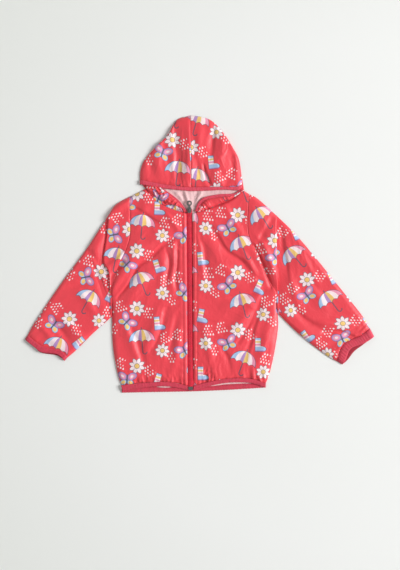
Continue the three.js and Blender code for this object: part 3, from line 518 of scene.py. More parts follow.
def folds(x, y, table):
    """The height of the folds in a table, each fading towards its ends."""
    z = np.zeros_like(x)
    for rise, half, left, line in table:
        side, t = from_line(x, y, run(line, 10))
        z += rise * bell(side, half * np.where(side > 0, left, 1.0)) * np.sin(np.pi * (0.15 + 0.7 * t))
    return z


def streaks(x, y, seed):
    """Small creases that run the way the cloth is pulled in each place."""
    total, weight = np.zeros_like(x), np.full_like(x, 0.12)
    for k, (cx, cy, reach, turn, strength) in enumerate(FLOWS):
        near = np.exp(-((x - cx) ** 2 + (y - cy) ** 2) / reach**2)
        c, s = math.cos(math.radians(turn)), math.sin(math.radians(turn))
        along, across = x * c + y * s, y * c - x * s
        wave = across + 3.5 * lattice_noise(along, across, 30, seed + 40 + k)
        broad = lattice_noise(along * 0.42, wave, 15, seed + 60 + k)
        sharp = sharp_noise(along * 0.36, wave, 12, seed + 80 + k, 2.6)
        fine = sharp_noise(along * 0.45, wave, 6.5, seed + 100 + k, 2.6)
        patchy = 0.55 + 0.45 * lattice_noise(x, y, 34, seed + 120 + k)
        total += near * strength * (0.75 * broad + (0.95 * sharp**1.6 + 0.34 * fine**1.5 - 0.5) * patchy)
        weight += near
    return total / weight


def gather(x, y, sizes):
    """Puckers that run up from a gathered edge, uneven in width and reach."""
    wide = sizes.gather / MM
    broad = lattice_noise(x, y * 0.12, wide, 9)
    fine = sharp_noise(x + 0.12 * y, y * 0.14, wide * 0.62, 10, 2.2)
    uneven = 0.35 + 0.9 * np.clip(lattice_noise(x, y * 0.2, 26, 12) + 0.35, 0, 1)
    return (0.9 * broad + 1.2 * fine - 0.5) * uneven


# Meshes


def linked(name, data):
    """A new object in the scene."""
    obj = bpy.data.objects.new(name, data)
    bpy.context.scene.collection.objects.link(obj)
    return obj


def shade_smoothly(mesh, smoothly=True):
    """Shades all of a mesh's faces smoothly, or all of them flat."""
    mesh.polygons.foreach_set("use_smooth", [smoothly] * len(mesh.polygons))


def object_from(name, vertices, faces, uv, material, thickness=0.0, weld=True, inside=None):
    """A smooth-shaded object with its cloth coordinates, given a thickness below its faces.

    Points come in millimetres. A second material goes on the inner faces.
    """
    mesh = bpy.data.meshes.new(name)
    mesh.from_pydata((np.asarray(vertices) * MM).tolist(), [], [list(f) for f in faces])
    layer = mesh.uv_layers.new(name="Cloth")
    loops = np.empty(len(mesh.loops), int)
    mesh.loops.foreach_get("vertex_index", loops)
    layer.data.foreach_set("uv", (np.asarray(uv)[loops] * MM).ravel())
    made = bmesh.new()
    made.from_mesh(mesh)
    if weld:
        bmesh.ops.remove_doubles(made, verts=made.verts, dist=1e-5)
        bmesh.ops.dissolve_degenerate(made, edges=made.edges, dist=1e-6)
    made.to_mesh(mesh)
    made.free()
    obj = linked(name, mesh)
    mesh.materials.append(material)
    if inside:
        mesh.materials.append(inside)
    if thickness:
        shell = obj.modifiers.new("Thickness", "SOLIDIFY")
        shell.thickness = thickness
        shell.offset = -1
        shell.material_offset = 1 if inside else 0
        apply_modifiers(obj)
    shade_smoothly(obj.data)
    return obj


def apply_modifiers(obj):
    """Puts what an object's modifiers make of its mesh in that mesh's place."""
    bpy.context.view_layer.update()
    shaped = obj.evaluated_get(bpy.context.evaluated_depsgraph_get())
    mesh = bpy.data.meshes.new_from_object(shaped)
    obj.modifiers.clear()
    obj.data = mesh


def grid_faces(rows, columns, start=0, flip=False):
    """The four-sided faces of a grid of points that are numbered row by row."""
    j, i = np.meshgrid(np.arange(rows - 1), np.arange(columns - 1), indexing="ij")
    a = (start + j * columns + i).ravel()
    quad = np.stack([a, a + 1, a + columns + 1, a + columns], 1)
    return quad[:, ::-1] if flip else quad


def from_grids(name, grids, material, thickness=0.0, inside=None):
    """One object from grids of (points, cloth coordinates, whether it faces down)."""
    vertices, uvs, faces, start = [], [], [], 0
    for points, uv, down in grids:
        rows, columns = points.shape[:2]
        faces.append(grid_faces(rows, columns, start, down))
        vertices.append(points.reshape(-1, 3))
        uvs.append(uv.reshape(-1, 2))
        start += rows * columns
    parts = [np.concatenate(part) for part in (vertices, faces, uvs)]
    return object_from(name, *parts, material, thickness, inside=inside)


def with_height(grid, z):
    """A flat grid, with heights as its third coordinate."""
    return np.concatenate([grid, np.broadcast_to(z, grid.shape[:2])[..., None]], -1)


def sheet(name, node, slot, grids, thickness, cut=None, cloth=None, inside=None):
    """Makes a sheet of cloth from grids. It rides on the jacket and stands for its solid.

    The cut is its flat size in millimetres. It is grown where the cloth's area is more, and is the
    piece's box where none is given. The cloth is the slot's own unless it is named.
    """
    made = materials()
    obj = from_grids(name, grids, made[cloth or slot], thickness, made[inside] if inside else None)
    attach(obj, BODY)
    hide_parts(node)
    if cut is None:
        corners = np.array([v.co for v in obj.data.vertices]) / MM
        cut = (corners.max(0) - corners.min(0))[:2]
    area = sum(p.area for p in obj.data.polygons) / 2
    cut = np.maximum(np.asarray(cut, float) * MM, LEAST_SIDE)
    cut *= math.sqrt(max(1.0, area / cut.prod()))
    area = float(max(area, LEAST_SHARE * cut.prod()))


# Shader wiring


class Value:
    """A shader value. Each sum, product or other operation on it adds one node."""

    def __init__(self, wires, socket):
        self.wires = wires
        self.socket = socket

    def __add__(self, other):
        return self.wires.math("ADD", self, other)

    def __sub__(self, other):
        return self.wires.math("SUBTRACT", self, other)

    def __rsub__(self, other):
        return self.wires.math("SUBTRACT", other, self)

    def __mul__(self, other):
        return self.wires.math("MULTIPLY", self, other)

    def __truediv__(self, other):
        return self.wires.math("DIVIDE", self, other)

    def __rtruediv__(self, other):
        return self.wires.math("DIVIDE", other, self)

    def __pow__(self, other):
        return self.wires.math("POWER", self, other)

    def __abs__(self):
        return self.wires.math("ABSOLUTE", self)


class Wires:
    """Adds nodes to a tree, and passes values from one to the next."""

    def __init__(self, tree):
        self.tree = tree

    def put(self, socket, value):
        if isinstance(value, Value):
            self.tree.links.new(value.socket, socket)
        elif value is not None:
            socket.default_value = value

    def node(self, kind, inputs=None, **settings):
        made = self.tree.nodes.new(kind)
        for name, value in settings.items():
            setattr(made, name, value)
        for key, value in (inputs or {}).items():
            self.put(made.inputs[key], value)
        return made

    def get(self, output, kind, inputs=None, **settings):
        """One output of a new node."""
        return Value(self, self.node(kind, inputs, **settings).outputs[output])

    def math(self, operation, *values, clamp=False):
        inputs = dict(enumerate(values))
        return self.get(0, "ShaderNodeMath", inputs, operation=operation, use_clamp=clamp)

    def both(self, *masks):
        """Where all the masks are."""
        total = masks[0]
        for mask in masks[1:]:
            total = total * mask
        return total

    def either(self, *masks):
        """Where any of the masks is."""
        total = masks[0]
        for mask in masks[1:]:
            total = self.math("MAXIMUM", total, mask)
        return total

    def below(self, value, limit, soft=0.25):
        """1 where value is below limit, with a soft edge."""
        ends = {"Value": value - limit, "From Min": -soft, "From Max": soft, "To Min": 1.0, "To Max": 0.0}
        return self.get("Result", "ShaderNodeMapRange", ends)

    def above(self, value, limit, soft=0.25):
        """1 where value is above limit, which is a plain number."""
        return self.below(value * -1.0, -limit, soft)

    def distance(self, x, y):
        return self.math("SQRT", x * x + y * y)

    def cloth(self):
        """The cloth coordinates in millimetres."""
        place = self.get(0, "ShaderNodeUVMap", uv_map="Cloth")
        scale = {0: place, 1: (1 / MM, 1 / MM, 0)}
        return self.get(0, "ShaderNodeVectorMath", scale, operation="MULTIPLY")

    def split(self, vector):
        made = self.node("ShaderNodeSeparateXYZ", {0: vector})
        return Value(self, made.outputs[0]), Value(self, made.outputs[1])

    def join(self, x, y, z=0.0):
        return self.get(0, "ShaderNodeCombineXYZ", {0: x, 1: y, 2: z})

    def mix(self, factor, a, b):
        return self.get(2, "ShaderNodeMix", {0: factor, 6: a, 7: b}, data_type="RGBA")

    def bands(self, place, stops):
        """Plain bands of colour, each from its own place on."""
        made = self.node("ShaderNodeValToRGB", {"Fac": place})
        ramp = made.color_ramp
        ramp.interpolation = "CONSTANT"
        for k, (start, shade) in enumerate(stops):
            stop = ramp.elements[k] if k < 2 else ramp.elements.new(start)
            stop.position = start
            stop.color = shade
        return Value(self, made.outputs["Color"])

    def group(self, tree, **inputs):
        """The outputs of a group, by name."""
        made = self.node("ShaderNodeGroup", node_tree=tree)
        for name, value in inputs.items():
            self.put(made.inputs[name.replace("_", " ")], value)
        return {socket.name: Value(self, socket) for socket in made.outputs}


def group_tree(name, inputs, outputs):
    """A new group. An input holds a vector where it has no value, and else a number or a colour."""
    tree = bpy.data.node_groups.new(name, "ShaderNodeTree")
    for label, value in inputs.items():
        kind = "Float" if isinstance(value, float) else "Color" if value else "Vector"
        socket = tree.interface.new_socket(name=label, in_out="INPUT", socket_type="NodeSocket" + kind)
        if value is not None:
            socket.default_value = value
    for label, kind in outputs.items():
        tree.interface.new_socket(name=label, in_out="OUTPUT", socket_type="NodeSocket" + kind)
    w = Wires(tree)
    into = {socket.name: Value(w, socket) for socket in w.node("NodeGroupInput").outputs}
    return tree, w, into, w.node("NodeGroupOutput").inputs


def rgba(values, factors=(1.0, 1.0, 1.0)):
    """A colour for a shader, each of its parts times its own factor."""
    return (*(min(1.0, value * factor) for value, factor in zip(values, factors)), 1.0)


# The print

WHITE = (0.87, 0.71, 0.735, 1)
GREY = (0.42, 0.40, 0.44, 1)
INK = (0.10, 0.09, 0.13, 1)
SKY = (0.36, 0.50, 0.72, 1)
LILAC = (0.42, 0.24, 0.50, 1)
YELLOW = (0.82, 0.53, 0.17, 1)
PINK = (0.80, 0.29, 0.42, 1)
LOCAL = {"Local": None}
MOTIF = {"Color": "Color", "Mask": "Float"}


def scatter_group():
    """Cells in a half-drop repeat, each with its own turn."""
    inputs = {"Cloth": None, "Shift X": 0.0, "Shift Y": 0.0, "Pitch": REPEAT, "Turn": 0.4, "Size": 1.0}
    tree, w, into, out = group_tree("Half-Drop Repeat", inputs, {"Local": "Vector"})
    x, y = w.split(into["Cloth"])
    pitch = into["Pitch"]
    x = x + into["Shift X"]
    column = w.math("FLOOR", x / pitch)
    odd = abs(w.math("MODULO", column, 2.0))
    y = y + into["Shift Y"] + odd * 0.5 * pitch
    row = w.math("FLOOR", y / pitch)
    local = w.join(x - (column + 0.5) * pitch, y - (row + 0.5) * pitch)
    cell = w.join(column, row, into["Shift X"] + 0.5)
    chance = w.get("Value", "ShaderNodeTexWhiteNoise", {"Vector": cell}, noise_dimensions="3D")
    angle = (chance * 2.0 - 1.0) * into["Turn"]
    turned = w.get(0, "ShaderNodeVectorRotate", {"Vector": local, "Angle": angle}, rotation_type="Z_AXIS")
    sized = w.get(0, "ShaderNodeVectorMath", {0: turned, "Scale": 1.0 / into["Size"]}, operation="SCALE")
    w.put(out["Local"], sized)
    return tree


def umbrella_group():
    """An open umbrella with gores of several colours and a hooked stick."""
    tree, w, into, out = group_tree("Umbrella Motif", LOCAL, MOTIF)
    x, y = w.split(into["Local"])
    radius, stick, hook_radius, hook_height = 24.0, 0.85, 3.8, -20.0
    high = y * 1.12
    # The canopy is a disc, cut off below by a row of arcs.
    scallop = abs(w.math("SINE", (x + radius) * (math.pi / 12))) * 3.2 - 2.0
    inside = w.math("MINIMUM", radius - w.distance(x, high), y - scallop)
    canopy = w.above(inside, 0.0)
    span = w.math("SQRT", w.math("MAXIMUM", 580.0 - high * high, 1.0))
    gores = ((0.0, SKY), (0.17, WHITE), (0.36, LILAC), (0.5, YELLOW), (0.66, WHITE), (0.84, PINK))
    shade = w.mix(w.below(inside, 0.9), w.bands(x / span * 0.5 + 0.5, gores), INK)
    handle = w.both(w.below(abs(x), stick), w.below(y, 3.0), w.above(y, hook_height))
    hook = abs(w.distance(x - hook_radius, y - hook_height) - hook_radius)
    hook = w.both(w.below(hook, stick), w.below(y, hook_height))
    tip = w.both(w.below(abs(x), 0.8), w.above(y, 20.0), w.below(y, 25.5))
    w.put(out["Color"], w.mix(canopy, INK, shade))
    w.put(out["Mask"], w.either(canopy, handle, hook, tip))
    return tree


def boot_group():
    """A striped boot, seen from the side."""
    tree, w, into, out = group_tree("Boot Motif", LOCAL, MOTIF)
    x, y = w.split(into["Local"])
    shaft = w.math("MINIMUM", 6.0 - abs(x + 4.2), 15.0 - y)
    foot = (1.0 - w.distance((x - 1.4) / 11.6, (y + 8.0) / 6.6)) * 7.5
    above_sole = y + 13.0
    inside = w.math("MINIMUM", w.math("MAXIMUM", shaft, foot), above_sole)
    lower = ((0.0, LILAC), (0.09, SKY), (0.34, WHITE), (0.44, PINK))
    upper = ((0.56, WHITE), (0.64, YELLOW), (0.76, WHITE), (0.84, SKY))
    w.put(out["Color"], w.mix(w.below(inside, 0.8), w.bands(above_sole / 28.0, lower + upper), INK))
    w.put(out["Mask"], w.above(inside, 0.0))
    return tree


def daisy_group():
    """A daisy with eight petals."""
    tree, w, into, out = group_tree("Daisy Motif", LOCAL, MOTIF)
    x, y = w.split(into["Local"])
    r = w.distance(x, y)
    petals = w.math("COSINE", w.math("ARCTAN2", y, x) * 8.0)
    edge = petals * 2.0 + 11.6 - r
    outline = 0.55
    between = w.both(w.below(petals, -0.82, 0.08), w.above(r, 6.0), w.below(r, 10.5))
    shade = w.mix(between, WHITE, GREY)
    shade = w.mix(w.below(r, 4.6), shade, INK)
    shade = w.mix(w.below(r, 3.9), shade, YELLOW)
    w.put(out["Color"], w.mix(w.below(abs(edge), outline), shade, INK))
    w.put(out["Mask"], w.above(edge, -outline))
    return tree


def butterfly_group():
    """A butterfly with two wings on each side."""
    tree, w, into, out = group_tree("Butterfly Motif", LOCAL, MOTIF)
    x, y = w.split(into["Local"])
    x = abs(x)

    def wing(cx, cy, rx, ry, turn):
        """The square of the share of the way from a wing's middle to its edge."""
        dx, dy = x - cx, y - cy
        c, s = math.cos(turn), math.sin(turn)
        px = dx * (c / rx) + dy * (s / rx)
        py = dx * (-s / ry) + dy * (c / ry)
        return px * px + py * py

    upper, lower, soft = wing(8.6, 5.4, 9.8, 6.6, 0.55), wing(6.6, -6.0, 7.0, 5.2, -0.6), 0.03
    high = w.mix(w.above(upper, 0.42, soft), PINK, LILAC)
    high = w.mix(w.below(upper, 0.1, soft), high, WHITE)
    high = w.mix(w.above(upper, 0.86, soft), high, INK)
    low = w.mix(w.above(lower, 0.36, soft), YELLOW, SKY)
    low = w.mix(w.above(lower, 0.82, soft), low, INK)
    body = w.both(w.below(x, 1.15), w.below(abs(y), 8.5))
    over, under = w.below(upper, 1.0, soft), w.below(lower, 1.0, soft)
    w.put(out["Color"], w.mix(body, w.mix(over, low, high), INK))
    w.put(out["Mask"], w.either(over, under, body))
    return tree


def drops_group():
    """A spray of drops of uneven size in staggered rows."""
    tree, w, into, out = group_tree("Drops Motif", {"Local": None, "Reach": 14.0}, {"Mask": "Float"})
    x, y = w.split(into["Local"])
    pitch = 6.2
    row = w.math("FLOOR", y / pitch)
    shift = abs(w.math("MODULO", row, 2.0)) * (pitch / 2)
    x = x + shift
    column = w.math("FLOOR", x / pitch)
    cx, cy = (column + 0.5) * pitch, (row + 0.5) * pitch
    dx, dy = x - cx, y - cy
    narrow = dx * (dy * 0.3 + 1.25)
    size = w.math("SQRT", narrow * narrow + dy * dy * 0.55)
    cell = w.join(column, row)
    chance = w.get("Value", "ShaderNodeTexWhiteNoise", {"Vector": cell}, noise_dimensions="2D")
    radius = 1.85 - chance**2.2 * 2.0
    w.put(out["Mask"], w.both(w.below(size, radius), w.below(w.distance(cx - shift, cy), into["Reach"])))
    return tree


def print_group():
    """The printed shell: umbrellas, boots, daisies, butterflies and sprays of drops on a plain ground."""
    inputs = {"Cloth": None, "Ground": (0.8, 0.05, 0.07, 1)}
    tree, w, into, out = group_tree("Rain Print", inputs, MOTIF)
    repeat, drops, daisy = scatter_group(), drops_group(), daisy_group()

    def place(x, y, turn, size=1.0):
        shifts = {"Shift_X": REPEAT / 2 - x, "Shift_Y": REPEAT / 2 - y}
        return w.group(repeat, Cloth=into["Cloth"], Turn=turn, Size=size, **shifts)["Local"]

    shade, masks = into["Ground"], []
    for x, y, reach in ((51.6, 6.3, 14.5), (16.6, 59.8, 13.0), (-46.2, -50.5, 13.5), (-60.7, 25.7, 11.0)):
        masks.append(w.group(drops, Local=place(x, y, 0.5), Reach=reach)["Mask"])
        shade = w.mix(masks[-1], shade, WHITE)
    for motif, x, y, turn, size in (
        (daisy, -11.2, 69.3, 1.2, 1.3),
        (daisy, 44.6, -22.7, 1.2, 1.16),
        (butterfly_group(), -32.9, 40.4, 0.8, 1.22),
        (boot_group(), 37.6, 36.0, 0.45, 1.08),
        (umbrella_group(), 0.0, -2.0, 0.38, 1.2),
    ):
        made = w.group(motif, Local=place(x, y, turn, size))
        masks.append(made["Mask"])
        shade = w.mix(made["Mask"], shade, made["Color"])
    w.put(out["Color"], shade)
    w.put(out["Mask"], w.either(*masks))
    return tree


# Materials


def weave_group():
    """A plain weave: threads over and under each other."""
    tree, w, into, out = group_tree("Plain Weave", {"Cloth": None, "Pitch": 0.6}, {"Height": "Float"})
    x, y = w.split(into["Cloth"])
    turn = math.pi / into["Pitch"]
    w.put(out["Height"], w.math("SINE", x * turn) * w.math("SINE", y * turn))
    return tree


def crinkle_group():
    """Small soft creases, longer than they are wide."""
    outputs = {"Height": "Float", "Mottle": "Float"}
    tree, w, into, out = group_tree("Crinkle", {"Cloth": None, "Size": 14.0}, outputs)
    scale = w.join(into["Size"], into["Size"] * 1.7, 1.0)
    scaled = w.get(0, "ShaderNodeVectorMath", {0: into["Cloth"], 1: scale}, operation="DIVIDE")
    broad = {"Vector": scaled, "Scale": 0.7, "Detail": 1.0}
    warp = w.node("ShaderNodeTexNoise", broad, noise_dimensions="2D")
    shift = {0: Value(w, warp.outputs["Color"]), 1: (0.8, 0.8, 0), 2: scaled}
    shifted = w.get(0, "ShaderNodeVectorMath", shift, operation="MULTIPLY_ADD")
    fine = {"Vector": shifted, "Scale": 1.0, "Detail": 3.0, "Roughness": 0.55}
    noise = w.get("Fac", "ShaderNodeTexNoise", fine, noise_dimensions="2D")
    ridge = w.math("SUBTRACT", 1.0, abs(noise - 0.5) * 4.0, clamp=True)
    w.put(out["Height"], ridge**2.0)
    w.put(out["Mottle"], Value(w, warp.outputs["Fac"]))
    return tree


def rib_group():
    """Fine ribs across a binding or tape."""
    tree, w, into, out = group_tree("Ribs", {"Cloth": None, "Pitch": 0.9}, {"Height": "Float"})
    x, y = w.split(into["Cloth"])
    turn = 2 * math.pi / into["Pitch"]
    knots = w.math("SINE", y * (turn * 0.8))
    w.put(out["Height"], w.math("SINE", x * turn) + knots * 0.5)
    return tree


def shared(maker):
    """What a function makes, made once."""
    if maker not in MADE:
        MADE[maker] = maker()
    return MADE[maker]


def new_material(name):
    """A material, its wires and its surface shader."""
    material = bpy.data.materials.new(name)
    material.use_nodes = True
    return material, Wires(material.node_tree), material.node_tree.nodes["Principled BSDF"]


def bumped(w, surface, *layers):
    """Stacks bumps of (height, strength, depth in metres) onto the surface's normal."""
    normal = None
    for height, strength, depth in layers:
        inputs = {"Height": height, "Strength": strength, "Distance": depth, "Normal": normal}
        normal = w.get(0, "ShaderNodeBump", inputs)
    w.put(surface.inputs["Normal"], normal)


def shell_material(ground):
    """Coated plain-weave nylon with the rain print."""
    material, w, surface = new_material("printed_shell")
    cloth = w.cloth()
    crinkle = w.group(shared(crinkle_group), Cloth=cloth, Size=15.0)
    weave = w.group(shared(weave_group), Cloth=cloth, Pitch=0.55)
    base = w.mix(crinkle["Mottle"] * 0.35, rgba(ground), rgba(ground, [0.86] * 3))
    printed = w.group(shared(print_group), Cloth=cloth, Ground=base)
    w.put(surface.inputs["Base Color"], printed["Color"])
    w.put(surface.inputs["Roughness"], crinkle["Mottle"] * 0.16 + 0.36 + printed["Mask"] * 0.12)
    surface.inputs["Specular IOR Level"].default_value = 0.36
    surface.inputs["Sheen Weight"].default_value = 0.06
    bumped(w, surface, (crinkle["Height"], 0.3, 0.0006), (weave["Height"], 0.22, 0.00005))
    return material


def knit_material(name, shade, pitch, rough):
    """Elastic binding, jersey, woven tape or thread, with fine ribs."""
    material, w, surface = new_material(name)
    cloth = w.cloth()
    ribs = w.group(shared(rib_group), Cloth=cloth, Pitch=pitch)["Height"]
    crinkle = w.group(shared(crinkle_group), Cloth=cloth, Size=5.0)
    level = w.math("ADD", ribs * 0.18, crinkle["Mottle"] * 1.2, clamp=True)
    w.put(surface.inputs["Base Color"], w.mix(level, rgba(shade, [0.78] * 3), rgba(shade, [1.1] * 3)))
    w.put(surface.inputs["Roughness"], crinkle["Mottle"] * 0.15 + rough)
    surface.inputs["Sheen Weight"].default_value = 0.15
    surface.inputs["Sheen Roughness"].default_value = 0.5
    bumped(w, surface, (crinkle["Height"], 0.4, 0.0004), (ribs, 0.4, 0.00012))
    return material


def metal_material(name, shade):
    """Dull cast metal, worn brighter in patches."""
    material, w, surface = new_material(name)
    place = w.get("Object", "ShaderNodeTexCoord")
    wear = w.get("Fac", "ShaderNodeTexNoise", {"Vector": place, "Scale": 320.0, "Detail": 4.0})
    w.put(surface.inputs["Base Color"], w.mix(wear, rgba(shade, [0.8] * 3), rgba(shade, [1.35] * 3)))
    w.put(surface.inputs["Roughness"], wear * 0.3 + 0.22)
    surface.inputs["Metallic"].default_value = 0.85
    bumped(w, surface, (wear, 0.15, 0.0002))
    return material


def all_materials():
    c = bpy.context.scene.jacket_colours
    return {
        "shell": shell_material(c.shell),
        "binding": knit_material("elastic_binding", c.binding, 0.9, 0.62),
        "edge": knit_material("hood_binding", rgba(c.binding, (1.14, 1.5, 1.3))[:3], 0.9, 0.6),
        # The inside material is painted shade: a darker copy of the binding for the cuffs' inner faces,
        # where shade falls in their mouths.
        "inside": knit_material("binding_inside_painted_shade", rgba(c.binding, (0.62, 0.3, 0.42))[:3], 0.9, 0.7),
        "lining": knit_material("jersey_lining", c.lining, 0.8, 0.8),
        "tape": knit_material("zip_tape", c.tape, 0.7, 0.66),
        "chain": knit_material("zip_coil", c.chain, 0.5, 0.38),
        "thread": knit_material("sewing_thread", rgba(c.shell, [0.82] * 3)[:3], 0.4, 0.8),
        "metal": metal_material("zip_metal", c.metal),
    }


def materials():
    """The jacket's materials, made once."""
    return shared(all_materials)


# Pieces


def keep_surface(name, points):
    """Remembers a piece's upper face, so that stitches can be laid on it."""
    SURFACES[name] = points
    return points


def from_sides(grid):
    """For each point, its distance from the nearer of the grid's west and east edges."""
    return np.minimum(away(grid, grid[:, :1]), away(grid, grid[:, -1:]))


def under_layer(from_fold):
    """Heights of the layer below, which comes up to the fold that joins it to the layer above."""
    settled = risen(from_fold, 6)
    return FOLD_LEVEL * (1 - settled) + UNDER_LEVEL * settled


def front_grid(side, sizes):
    """The upper face of a front: open at the armhole and zip, turned down at its other edges."""
    t = TABLES[side]
    right = side == "right"
    edge = chain(t["side"], t["under"], t["armhole"])
    top = eastwards(chain(t["shoulder"], t["neck"]))
    hem = eastwards(run(t["hem"], 60))
    at_zip = -1 if right else 0
    zip_edge = np.linspace(hem[at_zip], top[at_zip], 80)
    west, east = (edge, zip_edge) if right else (zip_edge, edge)
    grid = patch(west, east, hem, top, sizes.step / MM)
    rows, columns = grid.shape[:2]
    x, y = grid[..., 0], grid[..., 1]
    edge = even(edge, rows - 1)
    from_side, from_zip = (away(grid, line[:, None]) for line in (edge, even(zip_edge, rows - 1)))
    from_top, from_hem = (away(grid, even(line, columns - 1)[None]) for line in (top, hem))
    # The edge is turned down at the side seam and shoulder, and stays up by the armhole and neck.
    free = smooth((edge[:, 1] - t["side"][-1][1]) / 60)[:, None]
    shoulder = t["shoulder"][-1][0]
    inner = smooth((x - shoulder if right else shoulder - x) / 14 + 0.3)
    lift = np.minimum(risen(from_side) * (1 - free) + free, risen(from_top) * (1 - inner) + inner)
    # It lies lower towards the hem, and in the seams at the armhole and neck.
    full = sizes.top / MM - 1.6 * (1 - risen(from_hem, 18))
    full = full - 0.7 * bell(from_side, 2.0) * free - 0.9 * bell(from_top, 2.0) * inner
    # Beside the zip it dips at the edge, stands up in a strip, and is drawn in by the stitches.
    placket = 0.6 * bell(from_zip - 5.0, 2.0) - 1.05 * bell(from_zip, 2.6)
    placket -= 0.95 * bell(from_zip - 9.0, 1.3)
    add = creases(x, y, sizes.seed) * sizes.crumple * (0.22 + 0.78 * smooth((from_zip - 7) / 16))
    # Puckers rise from the elastic hem, furthest beside the zip, and ripples cross the sewn strip.
    reach = 20 + 12 * lattice_noise(x, y * 0, 17, 21) + 12 * np.exp(-from_zip / 30)
    gathers = 3.0 * gather(x, y, sizes) * bell(from_hem, reach, 1.4)
    ripple = 0.3 * np.sin(2 * np.pi * y / 17 + 2 * lattice_noise(x, y, 24, 5)) * bell(from_zip - 12, 7)
    z = EDGE_LEVEL + (full - EDGE_LEVEL + add + gathers + ripple + placket) * lift
    return with_height(grid, np.maximum(z, EDGE_LEVEL + 2.4 * lift))


def make_fronts(sizes):
    """The two fronts, from the side seam and armhole to the zip."""
    for side in TABLES:
        points = keep_surface(side + "_front", front_grid(side, sizes))
        uv = points[..., :2] + PRINT_AT[side + "_front"]
        sheet(side + "_front_cloth", side + "_front", "shell", [(points, uv, False)], sizes.cloth)


def make_back():
    """The back panel: one flat layer between its two side edges."""
    outline = ("side", "under", "armhole", "shoulder")
    right, left = (chain(*(table[key] for key in outline)) for table in (RIGHT, LEFT))
    south = run(BACK_HEM, 60)
    right[0], left[0] = south[0], south[-1]
    grid = patch(right, left, south, joined("back_neck", 30), 4.0)
    points = with_height(grid, 0.95 + 0.12 * lattice_noise(grid[..., 0], grid[..., 1], 24, 77))
    uv = grid * [-1, 1] + PRINT_AT["back"]
    sheet("back_cloth", "back_panel", "shell", [(points, uv, False)], LAYER)


def mouth_gap(side, count):
    """How far the upper layer of a cuff stops short of the lower one, from the top corner down."""
    t = TABLES[side]
    wide, place = MOUTHS[side]
    along = np.linspace(0, 1, count + 1)
    inward = run(t["seam"], count) - run(t["cuff"], count)
    inward /= np.linalg.norm(inward, axis=1)[:, None]
    return inward * (wide * bell(along - place, 0.28) * np.sin(np.pi * along) ** 0.5)[:, None]


def sleeve_grids(side, sizes):
    """A sleeve's upper and lower layers, their cloth coordinates, and the size they were cut to."""
    t = TABLES[side]
    right = side == "right"
    level = sizes.sleeve_top / MM
    socket = chain(t["under"], t["armhole"])[::-1]
    pleat = chain(t["pleat"], t["tucked"])
    over, lower, seam = (run(t[key], 60) for key in ("over", "lower", "seam"))

    def area(upper_edge, lower_edge, south, north):
        if right:
            return crowded(upper_edge, lower_edge, south, north, sizes.step / MM)
        return crowded(lower_edge, upper_edge, south[::-1], north[::-1], sizes.step / MM)

    def heights(grid, peak, settled=1.0):
        lift = risen(from_sides(grid), 12)
        add = creases(grid[..., 0], grid[..., 1], sizes.seed) * sizes.crumple * settled
        return FOLD_LEVEL + np.maximum((peak - FOLD_LEVEL + add) * lift, 1.2 * lift)

    # From the cuff to the pleat, above and below, and from the pleat to the armhole
    outer = area(over, lower, seam + 0.85 * mouth_gap(side, 60), pleat)
    beneath = area(over, lower, seam, pleat)
    cap = area(run(t["cap"], 40), np.linspace(pleat[-1], socket[-1], 20), pleat, socket)
    # The pleat stands out from the upper edge on, and fades about three quarters of the way across.
    share = np.linspace(0, 1, outer.shape[1])
    fold = smooth((0.74 - (share if right else 1 - share)) / 0.1)[None]
    x, y = outer[..., 0], outer[..., 1]
    long = length_of(outer[:, outer.shape[1] // 2])
    from_cuff = np.linspace(0, long, outer.shape[0])[:, None]
    tucks = gather(x * 0.6 - y * 0.8, y, sizes) * bell(from_cuff, 18, 1.5)
    # It lies lower towards the pleat and at the cuff, and the creases are settled by the cuff.
    peak = level - 2.9 * bell(long - from_cuff, 20) - 1.6 * bell(from_cuff, 3)
    peak = peak + 1.3 * tucks * (0.35 + 0.65 * risen(from_cuff, 5))
    low = heights(outer, peak, 0.15 + 0.85 * risen(from_cuff, 12))
    deep = length_of(cap[:, cap.shape[1] // 4])
    inward = np.linspace(0, deep, cap.shape[0])[:, None]
    bulged = heights(cap, level + 0.4 + 1.5 * bell(inward, 16) - 0.7 * bell(deep - inward, 2.0))
    high = bulged * fold + heights(cap, level - 1.4) * (1 - fold)
    high[0] = low[-1] + 0.35 * (high[2] - low[-1])
    top = np.concatenate([with_height(outer, low), with_height(cap, high)])
    # The pleat's edge stands out over the sleeve below it, so the cloth doubles back under it.
    lip = len(low)
    inwards = cap[2] - cap[0]
    inwards = inwards / np.maximum(np.linalg.norm(inwards, axis=-1), 1e-6)[:, None] * fold.T
    top[lip, :, :2] -= 1.3 * inwards
    top[lip - 1, :, :2] += 1.4 * inwards
    top[lip - 1, :, 2] -= 0.3
    plan = top[..., :2].copy()
    plan[:lip] += beneath - outer
    bottom = with_height(plan, under_layer(from_sides(plan)))
    ahead = np.subtract(t["over"][-1], t["over"][0])
    ahead = ahead / np.linalg.norm(ahead)
    uv = np.stack([plan @ [ahead[1], -ahead[0]], plan @ ahead], -1)
    uv[lip:, :, 1] += PLEAT_DEPTH
    spread = np.ptp(uv.reshape(-1, 2), axis=0)
    return top, bottom, uv, (2 * spread[0], spread[1])


def make_sleeves(sizes):
    """Two flat tubes, each with a pleat below its cap."""
    for side in TABLES:
        top, bottom, uv, cut = sleeve_grids(side, sizes)
        keep_surface(side + "_sleeve", top)
        place = np.array(PRINT_AT[side + "_sleeve"])
        grids = [(top, uv + place, False), (bottom, uv * [-1, 1] + place + SLEEVE_SHIFT, True)]
        sheet(side + "_sleeve_cloth", side + "_sleeve", "shell", grids, sizes.cloth, cut)


